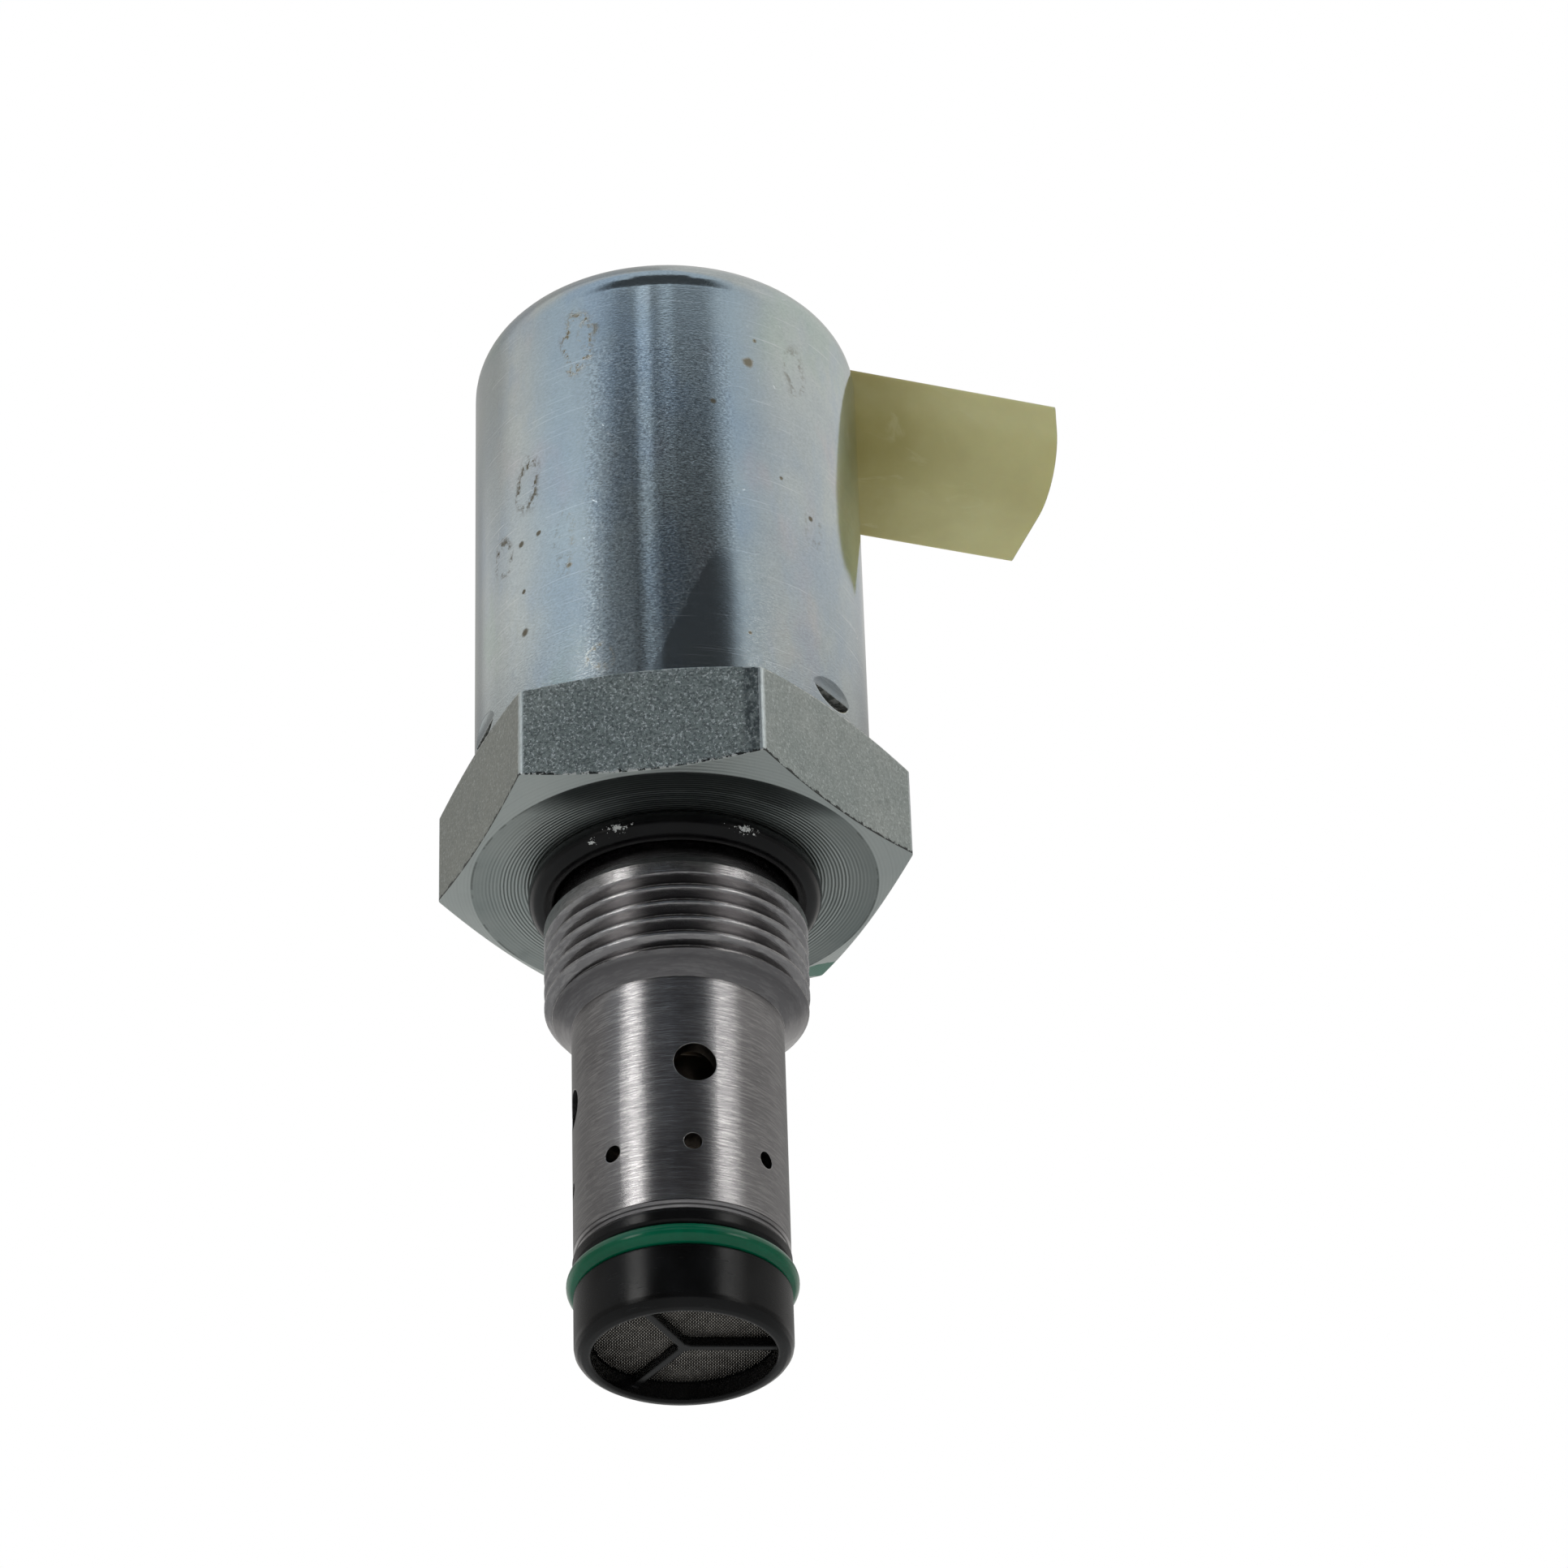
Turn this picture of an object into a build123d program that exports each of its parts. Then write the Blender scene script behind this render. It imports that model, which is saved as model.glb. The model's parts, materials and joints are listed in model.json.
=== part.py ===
from build123d import *
from math import radians, sin, cos, tan
import os

os.makedirs("parts", exist_ok=True)

# All lengths in millimetres. The origin is the centre of the hexagon's seating face,
# +Z runs along the valve axis from the manifold cavity towards the solenoid,
# and the electrical connector points along +X.

# ---------------------------------------------------------------- hexagon
hex_across_flats = 34.925
hex_height = 10.1
hex_face_radius = 17.1
hex_chamfer_rise = 0.31
hex_corner_round = 0.45
hex_turn = -26.15
boss_radius = 15.1
boss_top = 17.0

# ---------------------------------------------------------------- cartridge
thread_radius = 11.0
thread_pitch = 1.5
thread_depth = 0.92
thread_start = -4.57
thread_groove_low = -14.875
thread_groove_high = -5.35
thread_root_half = 0.12
neck_radius = 9.9
neck_length = 4.1
cone_top = -12.46
cone_bottom = -14.28
sleeve_radius = 8.77
sleeve_end = -35.75
sleeve_chamfer = 0.6
shank_radius = 8.5
shank_top = 13.0
spool_bore_radius = 6.6
pilot_chamber_radius = 4.5
big_port_diameter = 3.5
big_port_height = -22.4
big_port_count = 4
big_port_turn = -99.0
small_port_diameter = 1.5
small_port_height = -29.8
small_port_count = 8
small_port_turn = -101.0
gallery_radius = 7.4
gallery_length = 4.4
return_circle = 7.7
return_diameter = 1.0
return_turn = 36.0
return_top = 1.5

# ---------------------------------------------------------------- seals
flange_seal_section = 2.4
flange_seal_radius = 11.1
end_seal_section = 1.8
end_seal_radius = 8.46
end_seal_height = -38.2
can_seal_section = 1.44
can_seal_radius = 14.44
can_seal_height = 15.5
tube_seal_section = 1.2
tube_seal_radius = 8.9
tube_seal_height = 14.75

# ---------------------------------------------------------------- end cap and screen
cap_radius = 8.8
cap_flange_radius = 8.85
cap_flange_top = -35.85
groove_top = -37.25
groove_bottom = -39.1
groove_floor_radius = 7.5
cap_end = -44.6
cap_round = 1.0
cap_mouth_radius = 7.43
screen_bottom = -42.95
screen_thickness = 0.25
spoke_bottom = -43.75
spoke_width = 0.6
spoke_turn = -15.0
screen_pitch = 1.1
screen_hole = 0.62

# ---------------------------------------------------------------- solenoid can
can_radius = 16.78
can_wall = 1.6
can_bottom = 10.1
can_top = 55.7
can_corner = 4.6
can_roof = 1.8
crimp_bearings = (-54.0, -179.0, 63.0)
crimp_cut_height = 12.4
crimp_half_width = 2.45
crimp_drop = 1.4
crimp_depth = 1.0
crimp_dent_depth = 0.2
crimp_dent_radius = 4.4

# ---------------------------------------------------------------- connector
connector_reach = 34.6
connector_width = 13.0
connector_bottom = 45.15
connector_top = 53.75
connector_big_round = 5.6
connector_small_round = 0.7
socket_wall = 1.3
socket_depth = 14.0
pin_height = 49.5
pin_spacing = 5.0
pin_width = 1.5
pin_thickness = 0.8
pin_tip = 31.0
pin_leg = 9.6

# ---------------------------------------------------------------- magnet and pilot stage
tube_outer_radius = 6.5
tube_inner_radius = 6.05
tube_top = 47.0
pole_face = 25.0
armature_radius = 6.0
armature_bottom = 25.6
armature_top = 39.0
plug_face = 39.85
push_pin_radius = 1.5
pole_bore_radius = 1.56
coil_bottom = 19.2
coil_top = 44.0
wire_diameter = 1.0

# ---------------------------------------------------------------- main stage
spool_radius = 6.56
spool_bottom = -31.35
spool_top = -10.6
spring_seat_height = -24.0
seat_bottom = -8.0
seat_top = -3.0
orifice_radius = 0.8
seat_half_angle = 30.0

hex_corner_radius = hex_across_flats / 2 / cos(radians(30))
port_bore_length = 12.0


def port_plane(height, turn):
    """Plane on the axis at a height, facing outwards along a bearing in degrees."""
    return Plane(
        origin=(0, 0, height),
        x_dir=(-sin(radians(turn)), cos(radians(turn)), 0),
        z_dir=(cos(radians(turn)), sin(radians(turn)), 0),
    )


def connector_outline(distance, grow):
    """Keyed connector section at a distance along +X, grown outwards by a margin."""
    low = connector_bottom - grow
    high = connector_top + grow
    half = connector_width / 2 + grow
    big = connector_big_round + grow
    small = max(connector_small_round + grow, 0.2)
    with BuildSketch(Plane.YZ.offset(distance)) as outline:
        with BuildLine():
            Line((-half + small, high), (half - small, high))
            CenterArc((half - small, high - small), small, 0, 90)
            Line((half, high - small), (half, low + small))
            CenterArc((half - small, low + small), small, 270, 90)
            Line((half - small, low), (-half + big, low))
            CenterArc((-half + big, low + big), big, 180, 90)
            Line((-half, low + big), (-half, high - small))
            CenterArc((-half + small, high - small), small, 90, 90)
        make_face()
    return outline.sketch


# ================================================================ hexagonal housing
with BuildPart() as hex_body:
    with BuildSketch(Plane.XY) as hex_outline:
        RegularPolygon(radius=hex_corner_radius, side_count=6, rotation=hex_turn)
    extrude(amount=hex_height)
    fillet(hex_body.edges().filter_by(Axis.Z), radius=hex_corner_round)
    # turned chamfers that cut the six corners on both faces
    with BuildSketch(Plane.XZ) as hex_turned:
        with BuildLine():
            Polyline(
                (0, 0),
                (hex_face_radius, 0),
                (hex_face_radius + 4, 4 * hex_chamfer_rise),
                (hex_face_radius + 4, hex_height - 4 * hex_chamfer_rise),
                (hex_face_radius, hex_height),
                (0, hex_height),
                close=True,
            )
        make_face()
    revolve(axis=Axis.Z, mode=Mode.INTERSECT)
    # boss that carries the solenoid can, with its crimp groove and seal groove
    with BuildSketch(Plane.XZ) as hex_boss:
        with BuildLine():
            Polyline(
                (0, hex_height - 1),
                (boss_radius, hex_height - 1),
                (boss_radius, 10.7),
                (13.8, 10.9),
                (13.8, 12.6),
                (boss_radius, 13.0),
                (boss_radius, can_seal_height - 0.75),
                (can_seal_radius - 0.75, can_seal_height - 0.75),
                (can_seal_radius - 0.75, can_seal_height + 0.75),
                (boss_radius, can_seal_height + 0.75),
                (boss_radius, boss_top - 0.3),
                (boss_radius - 0.3, boss_top),
                (0, boss_top),
                close=True,
            )
        make_face()
    revolve(axis=Axis.Z)
    # bore for the cartridge shank and counterbore for the pole flange
    with BuildSketch(Plane.XY):
        Circle(shank_radius)
    extrude(amount=shank_top, mode=Mode.SUBTRACT)
    with BuildSketch(Plane.XY.offset(shank_top)):
        Circle(9.5)
    extrude(amount=boss_top - shank_top, mode=Mode.SUBTRACT)
hex_body.part.label = "hex_body"
export_step(hex_body.part, "parts/hex_body.step")


# ================================================================ thread groove (cutter)
with BuildPart() as thread_groove:
    with BuildLine() as thread_path:
        Helix(
            pitch=thread_pitch,
            height=thread_groove_high - thread_groove_low,
            radius=thread_radius,
            center=(0, 0, thread_groove_low),
        )
    with BuildSketch(Plane(origin=thread_path.line @ 0, x_dir=(1, 0, 0), z_dir=thread_path.line % 0)):
        with BuildLine():
            Polyline(
                (-thread_depth, -thread_root_half),
                (0.1, -thread_root_half - (thread_depth + 0.1) * tan(radians(30))),
                (0.1, thread_root_half + (thread_depth + 0.1) * tan(radians(30))),
                (-thread_depth, thread_root_half),
                close=True,
            )
        make_face()
    sweep(path=thread_path.line, is_frenet=True)


# ================================================================ threaded steel sleeve
with BuildPart() as cartridge_body:
    with BuildSketch(Plane.XZ) as cartridge_section:
        with BuildLine():
            Polyline(
                (pilot_chamber_radius, shank_top),
                (shank_radius - 0.3, shank_top),
                (shank_radius, shank_top - 0.3),
                (shank_radius, 0),
                (neck_radius, 0),
                (neck_radius, -neck_length),
                (thread_radius, thread_start),
                (thread_radius, cone_top),
                (sleeve_radius, cone_bottom),
                (sleeve_radius, sleeve_end + sleeve_chamfer),
                (sleeve_radius - 0.27, sleeve_end),
                (spool_bore_radius + 0.3, sleeve_end),
                (spool_bore_radius, sleeve_end + 0.3),
                (spool_bore_radius, -32.25),
                (spool_bore_radius + 0.6, -32.25),
                (spool_bore_radius + 0.6, -31.38),
                (spool_bore_radius, -31.38),
                (spool_bore_radius, big_port_height - gallery_length / 2),
                (gallery_radius, big_port_height - gallery_length / 2 + 0.4),
                (gallery_radius, big_port_height + gallery_length / 2 - 0.4),
                (spool_bore_radius, big_port_height + gallery_length / 2),
                (spool_bore_radius, seat_top),
                (pilot_chamber_radius, seat_top),
                close=True,
            )
        make_face()
    revolve(axis=Axis.Z)
    # four large drain ports and eight small metering ports
    for k in range(big_port_count):
        with BuildSketch(port_plane(big_port_height, big_port_turn + 360 / big_port_count * k)):
            Circle(big_port_diameter / 2)
        extrude(amount=port_bore_length, mode=Mode.SUBTRACT)
    for k in range(small_port_count):
        with BuildSketch(port_plane(small_port_height, small_port_turn + 360 / small_port_count * k)):
            Circle(small_port_diameter / 2)
        extrude(amount=port_bore_length, mode=Mode.SUBTRACT)
    # two return drillings from the pilot chamber down to the drain gallery
    with BuildSketch(Plane.XY.offset(big_port_height + gallery_length / 2 - 0.8)):
        with PolarLocations(return_circle, 2, start_angle=return_turn):
            Circle(return_diameter / 2)
    extrude(amount=return_top - big_port_height - gallery_length / 2 + 0.8, mode=Mode.SUBTRACT)
    for k in range(2):
        with BuildSketch(port_plane(return_top - return_diameter / 2, return_turn + 180 * k)):
            Circle(return_diameter / 2)
        extrude(amount=return_circle, mode=Mode.SUBTRACT)
    # right-hand thread
    add(thread_groove.part, mode=Mode.SUBTRACT)
cartridge_body.part.label = "cartridge_body"
export_step(cartridge_body.part, "parts/cartridge_body.step")


# ================================================================ seals
with BuildPart() as flange_seal:
    with BuildSketch(Plane.XZ):
        with Locations((flange_seal_radius, -flange_seal_section / 2)):
            Circle(flange_seal_section / 2)
    revolve(axis=Axis.Z)
flange_seal.part.label = "flange_seal"
export_step(flange_seal.part, "parts/flange_seal.step")

with BuildPart() as end_seal:
    with BuildSketch(Plane.XZ):
        with Locations((end_seal_radius, end_seal_height)):
            Circle(end_seal_section / 2)
    revolve(axis=Axis.Z)
end_seal.part.label = "end_seal"
export_step(end_seal.part, "parts/end_seal.step")

with BuildPart() as can_seal:
    with BuildSketch(Plane.XZ):
        with Locations((can_seal_radius, can_seal_height)):
            Circle(can_seal_section / 2)
    revolve(axis=Axis.Z)
can_seal.part.label = "can_seal"
export_step(can_seal.part, "parts/can_seal.step")

with BuildPart() as tube_seal:
    with BuildSketch(Plane.XZ):
        with Locations((tube_seal_radius, tube_seal_height)):
            Circle(tube_seal_section / 2)
    revolve(axis=Axis.Z)
tube_seal.part.label = "tube_seal"
export_step(tube_seal.part, "parts/tube_seal.step")


# ================================================================ end cap with filter screen
with BuildPart() as filter_cap:
    with BuildSketch(Plane.XZ) as cap_section:
        with BuildLine():
            Polyline(
                (4.6, -32.65),
                (spool_bore_radius - 0.4, -32.65),
                (spool_bore_radius, -33.2),
                (spool_bore_radius, cap_flange_top),
                (cap_flange_radius - 0.2, cap_flange_top),
                (cap_flange_radius, cap_flange_top - 0.25),
                (cap_flange_radius, groove_top + 0.3),
                (cap_flange_radius - 0.25, groove_top),
                (groove_floor_radius, groove_top),
                (groove_floor_radius, groove_bottom),
                (cap_radius - 0.15, groove_bottom),
                (cap_radius, groove_bottom - 0.15),
                (cap_radius, cap_end + cap_round),
                (cap_radius - 0.07 * cap_round, cap_end + 0.62 * cap_round),
                (cap_radius - 0.29 * cap_round, cap_end + 0.29 * cap_round),
                (cap_radius - 0.62 * cap_round, cap_end + 0.07 * cap_round),
                (cap_radius - cap_round, cap_end),
                (cap_mouth_radius + 0.15, cap_end),
                (cap_mouth_radius, cap_end + 0.15),
                (cap_mouth_radius, screen_bottom + screen_thickness),
                (7.0, screen_bottom + screen_thickness),
                (7.0, -40.4),
                (5.6, -39.4),
                (4.6, -37.0),
                close=True,
            )
        make_face()
    revolve(axis=Axis.Z)
    # three spokes that carry the screen
    with BuildSketch(Plane.XY.offset(spoke_bottom)) as cap_spokes:
        with PolarLocations(0, 3, start_angle=spoke_turn):
            with Locations((cap_mouth_radius / 2 + 0.1, 0)):
                Rectangle(cap_mouth_radius + 0.2, spoke_width)
        Circle(0.55)
    extrude(amount=screen_bottom - spoke_bottom)
filter_cap.part.label = "filter_cap"
export_step(filter_cap.part, "parts/filter_cap.step")

with BuildPart() as filter_screen:
    with BuildSketch(Plane.XY.offset(screen_bottom)):
        Circle(cap_mouth_radius - 0.03)
    extrude(amount=screen_thickness)
    with BuildSketch(Plane.XY.offset(screen_bottom)) as screen_holes:
        for row in range(-6, 7):
            for column in range(-6, 7):
                if (row * row + column * column) * screen_pitch * screen_pitch < 6.5 * 6.5:
                    with Locations((column * screen_pitch, row * screen_pitch)):
                        Rectangle(screen_hole, screen_hole)
    extrude(amount=screen_thickness, mode=Mode.SUBTRACT)
filter_screen.part.label = "filter_screen"
export_step(filter_screen.part, "parts/filter_screen.step")


# ================================================================ main stage
with BuildPart() as stop_ring:
    with BuildSketch(Plane.XY.offset(-32.2)):
        Circle(spool_bore_radius + 0.55)
        Circle(5.5, mode=Mode.SUBTRACT)
        with Locations((6.4, 0)):
            Rectangle(3.0, 3.4, mode=Mode.SUBTRACT)
    extrude(amount=0.8)
stop_ring.part.label = "stop_ring"
export_step(stop_ring.part, "parts/stop_ring.step")

with BuildPart() as main_spool:
    with BuildSketch(Plane.XZ) as spool_section:
        with BuildLine():
            Polyline(
                (0.5, -28.4),
                (3.0, -28.4),
                (3.0, spool_bottom),
                (spool_radius - 0.25, spool_bottom),
                (spool_radius, spool_bottom + 0.25),
                (spool_radius, -27.6),
                (5.2, -27.2),
                (5.2, -19.6),
                (spool_radius, -19.2),
                (spool_radius, spool_top - 0.3),
                (spool_radius - 0.3, spool_top),
                (4.3, spool_top),
                (4.0, spool_top - 0.3),
                (4.0, spring_seat_height),
                (0.5, spring_seat_height),
                close=True,
            )
        make_face()
        # oil grooves on the two lands
        for height in (-28.4, -17.6, -15.6, -13.6):
            with Locations((spool_radius, height)):
                Rectangle(0.5, 0.4, mode=Mode.SUBTRACT)
    revolve(axis=Axis.Z)
main_spool.part.label = "main_spool"
export_step(main_spool.part, "parts/main_spool.step")

with BuildPart() as spool_spring:
    with BuildLine() as spool_spring_path:
        Helix(pitch=2.05, height=16.4, radius=3.2, center=(0, 0, spring_seat_height - 0.2))
    with BuildSketch(
        Plane(origin=spool_spring_path.line @ 0, x_dir=(1, 0, 0), z_dir=spool_spring_path.line % 0)
    ):
        Circle(0.5)
    sweep(path=spool_spring_path.line, is_frenet=True)
    # ends ground flat on the two seats
    with BuildSketch(Plane.XY.offset(spring_seat_height + 0.02)):
        Circle(3.9)
    extrude(amount=seat_bottom - spring_seat_height - 0.04, mode=Mode.INTERSECT)
spool_spring.part.label = "spool_spring"
export_step(spool_spring.part, "parts/spool_spring.step")


# ================================================================ pilot stage
seat_slope = 1 / tan(radians(seat_half_angle))
seat_cone_bottom = seat_top - (2.0 - orifice_radius) * seat_slope

with BuildPart() as pilot_seat:
    with BuildSketch(Plane.XZ) as pilot_seat_section:
        with BuildLine():
            Polyline(
                (orifice_radius, seat_bottom - 2.0),
                (2.3, seat_bottom - 2.0),
                (2.5, seat_bottom - 1.8),
                (2.5, seat_bottom),
                (spool_bore_radius - 0.3, seat_bottom),
                (spool_bore_radius, seat_bottom + 0.3),
                (spool_bore_radius, seat_top),
                (2.0, seat_top),
                (orifice_radius, seat_cone_bottom),
                close=True,
            )
        make_face()
    revolve(axis=Axis.Z)
pilot_seat.part.label = "pilot_seat"
export_step(pilot_seat.part, "parts/pilot_seat.step")

with BuildPart() as pilot_poppet:
    with BuildSketch(Plane.XZ) as poppet_section:
        with BuildLine():
            Polyline(
                (0, seat_cone_bottom + 0.06 - 0.4 * seat_slope),
                (0.4, seat_cone_bottom + 0.06 - 0.4 * seat_slope),
                (2.2, seat_cone_bottom + 0.06 + 1.4 * seat_slope),
                (2.2, 3.0),
                (3.0, 3.4),
                (3.0, 4.8),
                (2.8, 5.0),
                (push_pin_radius, 5.0),
                (push_pin_radius, 1.5),
                (0, 1.5),
                close=True,
            )
        make_face()
    revolve(axis=Axis.Z)
pilot_poppet.part.label = "pilot_poppet"
export_step(pilot_poppet.part, "parts/pilot_poppet.step")

with BuildPart() as push_pin:
    with BuildSketch(Plane.XZ) as push_pin_section:
        with BuildLine():
            Polyline(
                (0, 1.5),
                (push_pin_radius - 0.2, 1.5),
                (push_pin_radius, 1.7),
                (push_pin_radius, 29.3),
                (push_pin_radius - 0.2, 29.5),
                (0, 29.5),
                close=True,
            )
        make_face()
    revolve(axis=Axis.Z)
push_pin.part.label = "push_pin"
export_step(push_pin.part, "parts/push_pin.step")


# ================================================================ magnet
with BuildPart() as pole_piece:
    with BuildSketch(Plane.XZ) as pole_section:
        with BuildLine():
            Polyline(
                (pole_bore_radius, shank_top),
                (9.3, shank_top),
                (9.5, shank_top + 0.2),
                (9.5, tube_seal_height - 0.65),
                (tube_seal_radius - 0.6, tube_seal_height - 0.65),
                (tube_seal_radius - 0.6, tube_seal_height + 0.65),
                (9.5, tube_seal_height + 0.65),
                (9.5, 16.3),
                (tube_inner_radius, 16.3),
                (tube_inner_radius, pole_face - 0.6),
                (tube_inner_radius - 0.25, pole_face),
                (4.4, pole_face),
                (3.6, pole_face - 1.6),
                (pole_bore_radius, pole_face - 1.6),
                close=True,
            )
        make_face()
    revolve(axis=Axis.Z)
    # balance passages through the pole
    with BuildSketch(Plane.XY.offset(shank_top)):
        with PolarLocations(3.4, 3, start_angle=30):
            Circle(0.6)
    extrude(amount=pole_face - shank_top, mode=Mode.SUBTRACT)
pole_piece.part.label = "pole_piece"
export_step(pole_piece.part, "parts/pole_piece.step")

with BuildPart() as armature_tube:
    with BuildSketch(Plane.XZ) as tube_section:
        with BuildLine():
            Polyline(
                (tube_inner_radius, 16.3),
                (9.2, 16.3),
                (9.2, boss_top),
                (tube_outer_radius, boss_top),
                (tube_outer_radius, tube_top),
                (tube_inner_radius, tube_top),
                close=True,
            )
        make_face()
    revolve(axis=Axis.Z)
armature_tube.part.label = "armature_tube"
export_step(armature_tube.part, "parts/armature_tube.step")

with BuildPart() as armature:
    with BuildSketch(Plane.XZ) as armature_section:
        with BuildLine():
            Polyline(
                (0, 29.5),
                (push_pin_radius, 29.5),
                (push_pin_radius, armature_bottom - 1.2),
                (3.2, armature_bottom - 1.2),
                (3.9, armature_bottom),
                (armature_radius - 0.3, armature_bottom),
                (armature_radius, armature_bottom + 0.3),
                (armature_radius, armature_top - 0.3),
                (armature_radius - 0.3, armature_top),
                (2.8, armature_top),
                (2.8, 35.0),
                (0, 35.0),
                close=True,
            )
        make_face()
    revolve(axis=Axis.Z)
    # oil passages along the armature
    with BuildSketch(Plane.XY.offset(armature_bottom - 2)):
        with PolarLocations(4.6, 4, start_angle=45):
            Circle(0.7)
    extrude(amount=armature_top - armature_bottom + 4, mode=Mode.SUBTRACT)
armature.part.label = "armature"
export_step(armature.part, "parts/armature.step")

with BuildPart() as end_plug:
    with BuildSketch(Plane.XZ) as plug_section:
        with BuildLine():
            Polyline(
                (0, 42.0),
                (2.9, 42.0),
                (2.9, plug_face),
                (tube_inner_radius - 0.3, plug_face),
                (tube_inner_radius, plug_face + 0.3),
                (tube_inner_radius, 43.3),
                (5.1, 43.3),
                (5.1, 44.7),
                (tube_inner_radius, 44.7),
                (tube_inner_radius, tube_top),
                (tube_outer_radius, tube_top),
                (tube_outer_radius, 49.0),
                (6.2, 49.3),
                (0, 49.3),
                close=True,
            )
        make_face()
    revolve(axis=Axis.Z)
    # hexagon socket used when the plug is set
    with BuildSketch(Plane.XY.offset(46.8)):
        RegularPolygon(radius=2.3, side_count=6)
    extrude(amount=2.5, mode=Mode.SUBTRACT)
end_plug.part.label = "end_plug"
export_step(end_plug.part, "parts/end_plug.step")

with BuildPart() as plug_seal:
    with BuildSketch(Plane.XZ):
        with Locations((5.58, 44.0)):
            Circle(0.47)
    revolve(axis=Axis.Z)
plug_seal.part.label = "plug_seal"
export_step(plug_seal.part, "parts/plug_seal.step")

with BuildPart() as armature_spring:
    with BuildLine() as armature_spring_path:
        Helix(pitch=1.2, height=7.2, radius=2.15, center=(0, 0, 34.9))
    with BuildSketch(
        Plane(origin=armature_spring_path.line @ 0, x_dir=(1, 0, 0), z_dir=armature_spring_path.line % 0)
    ):
        Circle(0.25)
    sweep(path=armature_spring_path.line, is_frenet=True)
    # ends ground flat
    with BuildSketch(Plane.XY.offset(35.02)):
        Circle(2.6)
    extrude(amount=6.96, mode=Mode.INTERSECT)
armature_spring.part.label = "armature_spring"
export_step(armature_spring.part, "parts/armature_spring.step")

with BuildPart() as lower_flux_washer:
    with BuildSketch(Plane.XY.offset(boss_top)):
        Circle(boss_radius)
        Circle(tube_outer_radius, mode=Mode.SUBTRACT)
    extrude(amount=coil_bottom - boss_top)
    chamfer(lower_flux_washer.edges().filter_by(GeomType.CIRCLE).group_by(SortBy.RADIUS)[-1], length=0.2)
lower_flux_washer.part.label = "lower_flux_washer"
export_step(lower_flux_washer.part, "parts/lower_flux_washer.step")

with BuildPart() as coil_bobbin:
    with BuildSketch(Plane.XZ) as bobbin_section:
        with BuildLine():
            Polyline(
                (6.6, coil_bottom),
                (14.7, coil_bottom),
                (14.7, coil_bottom + 1.0),
                (7.4, coil_bottom + 1.0),
                (7.4, coil_top - 1.0),
                (14.7, coil_top - 1.0),
                (14.7, coil_top),
                (6.6, coil_top),
                close=True,
            )
        make_face()
    revolve(axis=Axis.Z)
coil_bobbin.part.label = "coil_bobbin"
export_step(coil_bobbin.part, "parts/coil_bobbin.step")

with BuildPart() as coil_winding:
    with BuildSketch(Plane.XZ) as winding_section:
        with Locations(((7.4 + 13.6) / 2, (coil_bottom + coil_top) / 2)):
            Rectangle(13.6 - 7.4, coil_top - coil_bottom - 2.0)
        # outermost layer of turns
        for k in range(22):
            with Locations((13.6, coil_bottom + 1.55 + k * (wire_diameter + 0.035))):
                Circle(wire_diameter / 2)
    revolve(axis=Axis.Z)
coil_winding.part.label = "coil_winding"
export_step(coil_winding.part, "parts/coil_winding.step")

with BuildPart() as upper_flux_washer:
    with BuildSketch(Plane.XY.offset(coil_top)):
        Circle(boss_radius)
        Circle(tube_outer_radius, mode=Mode.SUBTRACT)
        # slots for the two coil leads
        with Locations((pin_leg, pin_spacing / 2), (pin_leg, -pin_spacing / 2)):
            Rectangle(2.6, 2.8, mode=Mode.SUBTRACT)
    extrude(amount=2.5)
upper_flux_washer.part.label = "upper_flux_washer"
export_step(upper_flux_washer.part, "parts/upper_flux_washer.step")


# ================================================================ connector
with BuildPart() as terminal_pins:
    # two flat blades that run out into the socket
    with BuildSketch(Plane.YZ.offset(pin_leg)) as pin_blades:
        with Locations((-pin_spacing / 2, pin_height), (pin_spacing / 2, pin_height)):
            Rectangle(pin_width, pin_thickness)
    extrude(amount=pin_tip - pin_leg)
    chamfer(terminal_pins.edges().group_by(Axis.X)[-1], length=0.25)
    # legs that drop to the coil
    with BuildSketch(Plane.XY.offset(coil_top)) as pin_legs:
        with Locations((pin_leg + 0.4, -pin_spacing / 2), (pin_leg + 0.4, pin_spacing / 2)):
            Rectangle(0.8, pin_width)
    extrude(amount=pin_height + pin_thickness / 2 - coil_top)
terminal_pins.part.label = "terminal_pins"
export_step(terminal_pins.part, "parts/terminal_pins.step")


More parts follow.
